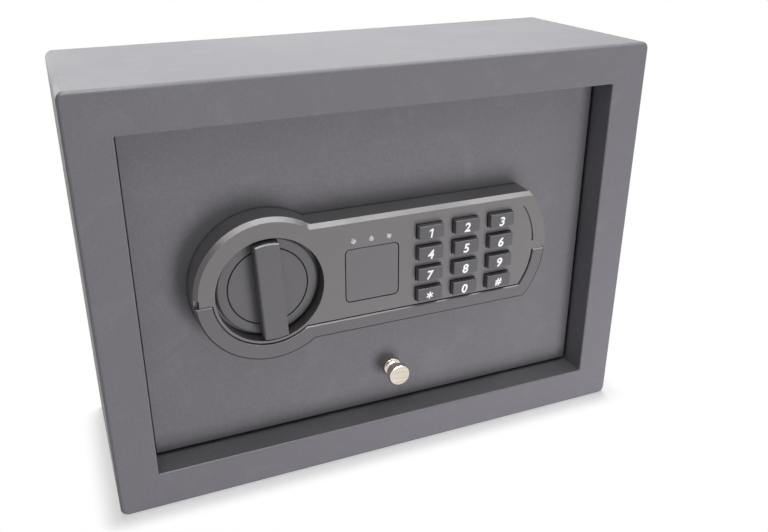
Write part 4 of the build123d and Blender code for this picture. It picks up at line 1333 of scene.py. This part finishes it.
@dataclass
class LockPanel(Assembly):
    """Moulded housing with its trim, square cover and lamps."""

    housing_edge: Softening = Softening(0.22)
    trim_edge: Softening = Softening(0.16)
    cover_edge: Softening = Softening(0.12)
    end_roll: float = 0.5
    outline_width: float = 0.5
    inner_width: float = 0.3
    dish_reach: float = 29.0
    end_from: float = 0.085
    lamp_radius: float = 1.5
    lamp_crown: float = 0.5

    def build(self) -> None:
        """Builds and dresses every piece of the panel."""
        # painted shade finishes for dark chamfers, the rolled end and the bowl wall
        darker = [self.finishes.seam, self.finishes.dish]
        cover = "emergency_cover"
        for node, body, slot, softening, shape_first in (
            ("panel_housing", "door", Slot.PANEL, self.housing_edge, self._roll_end),
            ("panel_trim", "door", Slot.TRIM, self.trim_edge, self._mark_outline),
            (cover, cover, Slot.COVER, self.cover_edge, self._darken_edge),
        ):
            self.soften(node, "moulded", body, slot, softening, shape_first, darker)
        self._lamps()

    def _roll_end(self, shape: BMesh) -> None:
        """Rolls the housing's bowed end over with painted shade on the roll, and paints shade on the wall
        of the bowl round the dial.

        Args:
            shape: the joined shape, changed in place.
        """
        dial = middle_of("dial")
        for face in shape.faces:
            out = face.calc_center_median() - dial
            out.y = 0
            # the bowl wall round the dial gets painted shade
            if out.length < self.dish_reach * MM and face.normal.dot(out) < -0.8 * out.length:
                face.material_index = DISH_SHADE
        end = [edge for edge, place, out in front_edges(shape) if place.x > self.end_from and out.x > 0.5]
        roll_edges(shape, end, self.end_roll, PAINTED_SHADE)

    def _mark_outline(self, shape: BMesh) -> None:
        """Darkens the trim's outer chamfer with painted shade, and widens it and the one that catches light
        along the bar.

        Args:
            shape: the joined shape, changed in place.
        """
        dial = middle_of("dial")
        outer, inner = [], []
        for face, lean in front_chamfers(shape):
            place = face.calc_center_median()
            inside = Vector((min(max(place.x, dial.x), self.end_from), place.y, dial.z))
            if lean.dot(place - inside) > 0.5 * (place - inside).length:
                outer.append((face, lean))
                face.material_index = PAINTED_SHADE
            elif lean.z > 0.9 and place.x > dial.x + self.dish_reach * MM:
                inner.append((face, lean))
        widen_chamfers(shape, outer, self.outline_width, 0.0)
        widen_chamfers(shape, inner, self.inner_width, self.inner_width)

    def _darken_edge(self, shape: BMesh) -> None:
        """Points the chamfers of the square cover at the dark finish of painted shade."""
        for face, _ in front_chamfers(shape):
            face.material_index = PAINTED_SHADE

    def _lamps(self) -> None:
        """Builds the three clear lamps, each a light guide with a domed face."""
        low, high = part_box("indicator_lens_1")
        radius, shoulder = self.lamp_radius, (high.y - low.y) / MM - self.lamp_crown
        profile = [(0, 0), (radius, 0), (radius, shoulder)]
        steps = 6
        for step in range(1, steps + 1):
            turn = math.pi / 2 * step / steps
            across = radius * math.cos(turn) if step < steps else 0
            profile.append((across, shoulder + self.lamp_crown * math.sin(turn)))
        for number in (1, 2, 3):
            node, name = f"indicator_lens_{number}", f"lamp_{number}"
            mesh = moved(turned(profile, name, 32, 50.0), outward_from(node))
            self.settle(name, mesh, node, "door", Slot.LAMP)


@dataclass
class Dial(Assembly):
    """Turning dial with its grip, and the parts behind it."""

    edge: Softening = Softening(0.22, 3)
    grip_height: float = 8.0
    groove_from: float = 19.8
    groove_to: float = 21.6
    groove_depth: float = 0.5

    def build(self) -> None:
        """Builds and dresses the dial's pieces."""
        # painted shade finish for the dial's groove
        darker = [self.finishes.seam]
        self.soften("dial", "moulded", "dial", Slot.DIAL, self.edge, self._darken_groove, darker)
        self.dress(dial_bush=Slot.BRASS, dial_spindle=Slot.LOCK_STEEL, dial_cam=Slot.CAST_ZINC)

    def _darken_groove(self, shape: BMesh) -> None:
        """Points the faces of the dial's turned groove at the dark finish of painted shade.

        Args:
            shape: the joined shape, changed in place.
        """
        dial = middle_of("dial")
        plane = min(vertex.co.y for vertex in shape.verts) + self.grip_height * MM
        for face in shape.faces:
            reach = [math.hypot(corner.co.x - dial.x, corner.co.z - dial.z) / MM for corner in face.verts]
            depth = (face.calc_center_median().y - plane) / MM
            in_ring = self.groove_from < min(reach) and max(reach) < self.groove_to
            if in_ring and 0.1 < depth < self.groove_depth + 0.1:
                face.material_index = PAINTED_SHADE


@dataclass
class Keypad(Assembly):
    """Twelve keys with printed figures, their mat and the board."""

    cap_width: float = 14.6
    cap_height: float = 7.7
    cap_corner: float = 0.5
    cap_round: float = 0.45
    cap_draft: float = 0.12
    foot_thickness: float = 1.2
    figure_height: float = 5.0
    figure_slant: float = 0.16
    figure_weight: float = 0.04
    figure_shift: float = -0.3
    figure_drop: float = 0.6
    figure_stroke: float = 0.95
    font_height: float = 0.73
    star_width: float = 4.0
    hash_share: float = 0.84
    ink_thickness: float = 0.03

    def build(self) -> None:
        """Builds and dresses the keys, the mat and the board."""
        figures = {"star": "*", "hash": "#"}
        for name in ("1", "2", "3", "4", "5", "6", "7", "8", "9", "star", "0", "hash"):
            self._key(name, figures.get(name, name))
        self.dress(keypad_mat=Slot.MAT, circuit_board=Slot.BOARD)

    def _cap(self, depth: float, foot_width: float, foot_height: float) -> Mesh:
        """Makes one key cap round the origin, its face towards the front.

        Args:
            depth: from the back of the foot to the face, in mm.
            foot_width: width of the foot, in mm.
            foot_height: height of the foot, in mm.

        Returns:
            The cap, its back at y = 0 and its face at y = -depth.
        """
        layers = [(foot_width, foot_height, 0.0), (foot_width, foot_height, self.foot_thickness)]
        layers.append((self.cap_width, self.cap_height, self.foot_thickness))
        for edge, rise in rounded_corner(0.0, depth, self.cap_round, 4):
            inset = 2 * (self.cap_draft - edge)
            layers.append((self.cap_width - inset, self.cap_height - inset, rise))
        rings = []
        for wide, high, rise in layers:
            outline = rounded_rectangle(wide, high, self.cap_corner)
            rings.append([(x * MM, -rise * MM, z * MM) for x, z in outline])
        return lofted(rings, "key_cap", 40.0)

    def _one(self) -> Line:
        """Outline of the figure one with its flag, anticlockwise, in mm.

        Returns:
            Its points.
        """
        tall, stroke = self.figure_height, self.figure_stroke
        flag = 1.3 * stroke
        stem = [(0, 0), (stroke, 0), (stroke, tall), (0.25 * stroke, tall)]
        return stem + [(-flag, 0.84 * tall), (-flag, 0.66 * tall), (0, 0.79 * tall)]

    def _star(self) -> Line:
        """Outline of a star with six square arms, anticlockwise, in mm.

        Returns:
            Its points.
        """
        reach, half = self.star_width / 2, 0.4 * self.figure_stroke
        points = []
        for arm in range(6):
            turn = math.radians(30 + 60 * arm)
            along = Vector((math.cos(turn), math.sin(turn))) * reach
            across = Vector((-math.sin(turn), math.cos(turn))) * half
            between = Vector((math.cos(turn + math.pi / 6), math.sin(turn + math.pi / 6)))
            points += [along - across, along + across, between * 2 * half]
        return [(point.x, point.y) for point in points]

    def _figure(self, text: str, name: str) -> Mesh:
        """Makes a figure as a thin slanted mesh, upright in the X-Z plane and centred on the origin.

        Args:
            text: the sign.
            name: name of the mesh.

        Returns:
            The figure's mesh.
        """
        outline = {"1": self._one, "*": self._star}.get(text)
        if outline:
            rings = []
            for y in (self.ink_thickness, -self.ink_thickness):
                rings.append([((x + self.figure_slant * z) * MM, y * MM, z * MM) for x, z in outline()])
            return self._centred(lofted(rings, name, 30.0))
        letters = bpy.data.curves.new(name, "FONT")
        letters.body = text
        letters.align_x = "CENTER"
        letters.shear = self.figure_slant
        share = self.hash_share if text == "#" else 1.0
        letters.size = share * self.figure_height / self.font_height * MM
        letters.offset = self.figure_weight * self.figure_height * MM
        letters.extrude = self.ink_thickness * MM
        mesh = plain_mesh(linked(name, letters), name)
        return self._centred(moved(mesh, Matrix.Rotation(math.pi / 2, 4, "X")))

    @staticmethod
    def _centred(mesh: Mesh) -> Mesh:
        """Moves a figure so that the middle of its outline lies on the origin.

        Args:
            mesh: the figure.

        Returns:
            The same mesh.
        """
        points = [vertex.co for vertex in mesh.vertices]
        middle_x = (min(point.x for point in points) + max(point.x for point in points)) / 2
        middle_z = (min(point.z for point in points) + max(point.z for point in points)) / 2
        return moved(mesh, Matrix.Translation((-middle_x, 0, -middle_z)))

    def _key(self, name: str, text: str) -> None:
        """Builds one key with its figure.

        Args:
            name: the key's name in its node.
            text: the sign printed on it.
        """
        node, printed = f"key_{name}", f"key_{name}_printed"
        low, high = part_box(node)
        middle, size = (low + high) / 2, (high - low) / MM
        plastic = self.finishes[Slot.KEY]
        cap = self._cap(size.y, size.x, size.z)
        placed = self.repeats.place(cap, [(middle.x, high.y, middle.z)], f"{node}_cap", plastic)
        shift, drop = self.figure_shift * MM, self.figure_drop * MM
        face = Matrix.Translation((middle.x + shift, low.y, middle.z - drop))
        both = joined(printed, [placed, moved(self._figure(text, f"{node}_figure"), face)])
        self.settle(printed, both, node, node, Slot.KEY, [plastic, self.finishes.ink])


@dataclass
class EmergencyLock(Assembly):
    """Key cylinder behind the square cover."""

    def build(self) -> None:
        """Dresses the cylinder, its plug, nut and lever."""
        self.dress(key_cylinder=Slot.LOCK_STEEL, key_plug=Slot.BRASS)
        self.dress(cylinder_nut=Slot.SHEET_STEEL, key_lever=Slot.SHEET_STEEL)


@dataclass
class BoltWork(Assembly):
    """Carriage, bolts, guides and the solenoid with its winding."""

    cheek: float = 1.2
    cheek_corner: float = 0.8
    wire: float = 0.32
    pitch: float = 2.1
    bobbin_radius: float = 4.0
    bobbin_end: float = 0.2

    def build(self) -> None:
        """Builds and dresses every piece of the bolt work."""
        sheet, steel, zinc = Slot.SHEET_STEEL, Slot.LOCK_STEEL, Slot.CAST_ZINC
        self.dress(bolt_carriage=sheet, bolt_left=steel, bolt_right=steel)
        self.dress(bolt_guide_left=zinc, bolt_guide_right=zinc, carriage_studs=steel)
        self.dress(solenoid_frame=sheet, solenoid_plunger=steel)
        self._coil()

    def _coil(self) -> None:
        """Builds the solenoid's bobbin and the wire wound on it."""
        low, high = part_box("solenoid_coil")
        length, side = (high.x - low.x) / MM, (high.z - low.z) / MM
        outline = rounded_rectangle(side, side, self.cheek_corner)
        parts = [slab(outline, start, start + self.cheek, "cheek") for start in (0.0, length - self.cheek)]
        core = [(0, self.bobbin_end), (self.bobbin_radius, self.bobbin_end)]
        core += [(self.bobbin_radius, length - self.bobbin_end), (0, length - self.bobbin_end)]
        parts.append(turned(core, "bobbin_core"))
        wound = length - 2 * self.cheek - 2 * self.wire
        radius = self.bobbin_radius + self.wire
        winding = Winding(wound / (self.pitch * self.wire), radius, radius, wound, self.wire)
        wire = self.repeats.wind("coil_wire", self.finishes[Slot.COIL], winding)
        parts.append(moved(wire, Matrix.Translation((0, 0, (self.cheek + self.wire) * MM))))
        name = "solenoid_winding"
        mesh = moved(joined(name, parts), lengthwise(low.x, (low + high) / 2))
        finishes = [self.finishes[Slot.BOX]] * 3 + [self.finishes[Slot.COIL]]
        self.settle(name, mesh, "solenoid_coil", "door", Slot.COIL, finishes)


@dataclass
class Screws(Assembly):
    """Pan head screws with a cross recess."""

    head_radius: float = 2.8
    head_height: float = 1.9
    shank_radius: float = 1.4
    recess_width: float = 0.75
    recess_length: float = 3.2
    recess_depth: float = 1.3

    def build(self) -> None:
        """Builds both groups of screws, each screw turned at random."""
        steel = self.finishes[Slot.SHEET_STEEL]
        for node, seed in (("case_screws", 5), ("panel_screws", 8)):
            name = f"{node}_turned"
            low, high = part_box(node)
            points = [(x, high.y - self.head_height * MM, z) for x, z in self._places(node)]
            screw = self._screw((high.y - low.y) / MM - self.head_height)
            placed = self.repeats.place(screw, points, name, steel, 2 * math.pi, seed)
            self.settle(name, placed, node, "door", Slot.SHEET_STEEL)

    @staticmethod
    def _places(node: str) -> Line:
        """Finds a CAD node's separate solids.

        Args:
            node: the CAD node.

        Returns:
            The middle of each as (x, z), in metres.
        """
        shape = joined_copy(node)
        left = set(shape.verts)
        places = []
        while left:
            reached = {left.pop()}
            waiting = list(reached)
            while waiting:
                corner = waiting.pop()
                fresh = {link.other_vert(corner) for link in corner.link_edges} - reached
                reached |= fresh
                waiting.extend(fresh)
            left -= reached
            xs = [vertex.co.x for vertex in reached]
            zs = [vertex.co.z for vertex in reached]
            places.append(((min(xs) + max(xs)) / 2, (min(zs) + max(zs)) / 2))
        shape.free()
        return sorted(places)

    def _screw(self, shank: float) -> Mesh:
        """Makes one screw whose head lies on y = 0 and points into the safe.

        Args:
            shank: length of the shank, in mm.

        Returns:
            The screw round the origin.
        """
        profile = [(0, -shank), (self.shank_radius - 0.3, -shank), (self.shank_radius, -shank + 0.5)]
        profile += [(self.shank_radius, 0), (self.head_radius - 0.1, 0), (self.head_radius, 0.15)]
        profile += rounded_corner(self.head_radius, self.head_height, 1.1, 5)
        profile += [(0, self.head_height)]
        blank = linked("screw_blank", turned(profile, "screw_blank", 32))
        cross = bmesh.new()
        for turn in (0.0, math.pi / 2):
            sides = (self.recess_length * MM, self.recess_width * MM, 2 * self.recess_depth * MM, 1)
            place = Matrix.Translation((0, 0, self.head_height * MM)) @ Matrix.Rotation(turn, 4, "Z")
            bmesh.ops.create_cube(cross, size=1.0, matrix=place @ Matrix.Diagonal(sides))
        cutter = linked("screw_cross", as_mesh(cross, "screw_cross"))
        cut = blank.modifiers.new("recess", "BOOLEAN")
        cut.object = cutter
        cut.solver = "EXACT"
        cut.use_self = True
        mesh = smooth(plain_mesh(blank, "screw"))
        bpy.data.objects.remove(cutter)
        return moved(mesh, Matrix.Rotation(-math.pi / 2, 4, "X"))


@dataclass
class BatteryBay(Assembly):
    """Case over the bolt work with its battery box, cells, contacts, lid and button."""

    case_edge: Softening = Softening(0.6, 3)
    lid_edge: Softening = Softening(0.15)
    contact_sheet: float = 0.4
    contact_side: float = 10.2
    contact_corner: float = 0.8
    spring: Winding = Winding(3.5, 3.9, 2.4, 3.3, 0.35)
    cell_radius: float = 7.25
    cell_length: float = 49.0
    nub_radius: float = 2.75
    nub_length: float = 1.5
    wrap_end: float = 1.0

    def build(self) -> None:
        """Builds and dresses every piece of the bay."""
        self.soften("mechanism_case", "coated", "door", Slot.CASE_PAINT, self.case_edge)
        self.soften("battery_lid", "moulded", "battery_lid", Slot.BOX, self.lid_edge)
        self.dress(battery_box=Slot.BOX, reset_button=Slot.BOX)
        self._cells()
        self._contacts()

    def _cells(self) -> None:
        """Builds the four wrapped cells, every second one turned about."""
        radius, length = self.cell_radius, self.cell_length
        wrap = [(0, 0), (radius - 1.2, 0), (radius - 1.1, self.wrap_end * 0.3)]
        wrap += [(radius - 0.3, 0.15), (radius, 0.6)]
        wrap += rounded_corner(radius, length, 0.5, 3) + [(radius - 1.4, length - 0.1), (0, length - 0.1)]
        cap = [(0, length - 0.2), (radius - 1.4, length - 0.2), (radius - 1.4, length - 0.05)]
        cap += [(self.nub_radius + 0.3, length), (self.nub_radius, length + 0.2)]
        cap += rounded_corner(self.nub_radius, length + self.nub_length, 0.3, 3)
        cap += [(0, length + self.nub_length)]
        materials = [self.finishes[Slot.CELL], self.finishes[Slot.SHEET_STEEL]]
        for number in (1, 2, 3, 4):
            node, name = f"battery_{number}", f"battery_{number}_wrapped"
            low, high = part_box(node)
            about = number % 2 == 0
            parts = [turned(line, f"{node}_part", 40) for line in (wrap, cap)]
            place = lengthwise(high.x if about else low.x, (low + high) / 2, about)
            self.settle(name, moved(joined(name, parts), place), node, "door", Slot.CELL, materials)

    def _contacts(self) -> None:
        """Builds the contact plates and the springs that press on the cells."""
        low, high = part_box("battery_contacts")
        steel = self.finishes[Slot.SHEET_STEEL]
        spring = self.repeats.wind("contact_spring", steel, self.spring)
        outline = rounded_rectangle(self.contact_side, self.contact_side, self.contact_corner)
        plate = slab(outline, 0, self.contact_sheet, "contact_plate")
        lift = Matrix.Translation((0, 0, (self.contact_sheet + self.spring.wire) * MM))
        parts = []
        for number in (1, 2, 3, 4):
            for at_right in (False, True):
                place = lengthwise(high.x if at_right else low.x, middle_of(f"battery_{number}"), at_right)
                parts.append(moved(plate.copy(), place))
                if at_right == (number % 2 == 0):
                    parts.append(moved(spring.copy(), place @ lift))
        mesh = joined("contact_springs", parts, one_finish=True)
        self.settle("contact_springs", mesh, "battery_contacts", "door", Slot.SHEET_STEEL)


@dataclass(frozen=True)
class Lamp:
    """One area lamp; places and size in metres, power in watts."""

    name: str
    place: Place
    target: Place
    size: tuple[float, float]
    power: float
    in_reflections: bool = True
    on_surfaces: bool = True

    def hang(self) -> None:
        """Puts the lamp into the scene."""
        light = bpy.data.lights.new(self.name, "AREA")
        light.shape = "RECTANGLE"
        light.size, light.size_y = self.size
        light.energy = self.power
        lamp = linked(self.name, light)
        aim = (Vector(self.target) - Vector(self.place)).to_track_quat("-Z", "Y")
        lamp.matrix_world = Matrix.Translation(self.place) @ aim.to_matrix().to_4x4()
        lamp.visible_glossy = self.in_reflections
        lamp.visible_diffuse = self.on_surfaces


@dataclass
class Studio:
    """Floor, sky, lamps and the camera at the photograph's viewing angle."""

    floor_size: float = 6.0
    floor_tone: float = 0.42
    floor_seen_tone: float = 0.93
    shadow_to: float = 0.014
    shadow_share: float = 0.5
    sky_light: float = 0.27
    lamps: tuple[Lamp, ...] = (
        Lamp("overhead_lamp", (0.25, 0.75, 1.35), (0, 0, 0.2), (1.1, 1.1), 28.0),
        Lamp("front_lamp", (0.62, -1.4, -0.3), (0, 0, 0.1), (0.5, 0.5), 9.5, in_reflections=False),
        Lamp("low_lamp", (0.22, -0.58, -0.26), (0, -0.05, 0.1), (0.35, 0.3), 3.3, in_reflections=False),
        Lamp("sheen_lamp", (0.05, -0.56, 1.28), (0, -0.05, 0.12), (2.0, 0.9), 64.0, on_surfaces=False),
        Lamp("rim_lamp", (-0.75, 1.6, 0.35), (-0.1, 0, 0.15), (1.2, 1.2), 13.0, on_surfaces=False),
    )
    eye: Place = (-0.15466, -0.40058, 0.29104)
    forward: Place = (0.33840, 0.85274, -0.39789)
    down: Place = (-0.15545, -0.36637, -0.91739)
    focal_pixels: float = 803.2
    centre_x_pixels: float = 359.8
    centre_y_pixels: float = 246.9
    sensor_width: float = 36.0

    def build(self) -> None:
        """Builds the whole studio."""
        self._floor()
        self._sky()
        for lamp in self.lamps:
            lamp.hang()
        self._camera()

    def _floor(self) -> None:
        """Lays the pale floor, which fades to pure white away from the object."""
        shape = bmesh.new()
        bmesh.ops.create_grid(shape, x_segments=1, y_segments=1, size=self.floor_size)
        material = bpy.data.materials.new("studio_floor_white")
        material.use_nodes = True
        sheet = NodeSheet(material.node_tree)
        sheet.tree.nodes.clear()
        low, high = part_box("body_shell")
        footprint = ((high.x - low.x) / 2, (high.y - low.y) / 2, 0)
        away = sheet.vector("ABSOLUTE", sheet.add("ShaderNodeTexCoord").outputs["Object"])
        outside = sheet.vector("MAXIMUM", sheet.vector("SUBTRACT", away.outputs[0], footprint).outputs[0])
        reach = sheet.vector("LENGTH", outside.outputs[0]).outputs["Value"]
        far = sheet.span(reach, 0, self.shadow_to, 1 - self.shadow_share, 1)
        seen = sheet.seen()
        bounced, shown = ((tone, tone, tone, 1) for tone in (self.floor_tone, self.floor_seen_tone))
        tone = sheet.add("ShaderNodeMix", {0: seen, 6: bounced, 7: shown}, data_type="RGBA").outputs[2]
        matt = sheet.add("ShaderNodeBsdfDiffuse", {"Color": tone}).outputs[0]
        white = sheet.add("ShaderNodeEmission", {"Color": (1, 1, 1, 1), "Strength": 1.0}).outputs[0]
        fading = {"Fac": sheet.math("MULTIPLY", far, seen), 1: matt, 2: white}
        ground = sheet.add("ShaderNodeMixShader", fading).outputs[0]
        shadow = sheet.add("ShaderNodeLightPath").outputs["Is Shadow Ray"]
        clear = sheet.add("ShaderNodeBsdfTransparent").outputs[0]
        surface = sheet.add("ShaderNodeMixShader", {"Fac": shadow, 1: ground, 2: clear})
        sheet.add("ShaderNodeOutputMaterial", {"Surface": surface.outputs[0]})
        add_piece("studio_floor", as_mesh(shape, "studio_floor"), [material])

    def _sky(self) -> None:
        """Sets a sky that is white to the eye and in reflections, and softer as a light."""
        world = bpy.data.worlds.new("studio_sky")
        bpy.context.scene.world = world
        world.use_nodes = True
        sheet = NodeSheet(world.node_tree)
        ground = next(node for node in sheet.tree.nodes if node.type == "BACKGROUND")
        shown = sheet.math("MULTIPLY", sheet.seen(), 1 - self.sky_light)
        sheet.feed(ground.inputs["Color"], (1, 1, 1, 1))
        sheet.feed(ground.inputs["Strength"], sheet.math("ADD", shown, self.sky_light))

    def _camera(self) -> None:
        """Sets the camera where the photograph was taken from."""
        lens = bpy.data.cameras.new("photo_camera")
        lens.sensor_fit = "HORIZONTAL"
        lens.sensor_width = self.sensor_width
        lens.lens = self.focal_pixels / FRAME_WIDTH * self.sensor_width
        lens.shift_x = (FRAME_WIDTH / 2 - self.centre_x_pixels) / FRAME_WIDTH
        lens.shift_y = (self.centre_y_pixels - FRAME_HEIGHT / 2) / FRAME_WIDTH
        lens.clip_start = 0.01
        camera = linked("photo_camera", lens)
        back = -Vector(self.forward).normalized()
        right = (-Vector(self.down)).cross(back).normalized()
        turn = Matrix((right, back.cross(right), back)).transposed().to_4x4()
        camera.matrix_world = Matrix.Translation(self.eye) @ turn
        bpy.context.scene.camera = camera


FRAME: dict = {}


def main() -> None:
    """Builds the looks in order."""
    logging.basicConfig(level=logging.INFO, format="%(name)s: %(message)s")
    FRAME.update(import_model())
    bpy.context.scene.view_settings.view_transform = "Standard"
    finishes = Finishes()
    repeats = Repeats()
    kinds = (Body, Door, LockPanel, Dial, Keypad, EmergencyLock, BoltWork, Screws, BatteryBay)
    for assembly in (*(kind(finishes, repeats) for kind in kinds), Studio()):
        assembly.build()
        log.info("%s is ready", type(assembly).__name__)


if __name__ == "__main__":
    main()
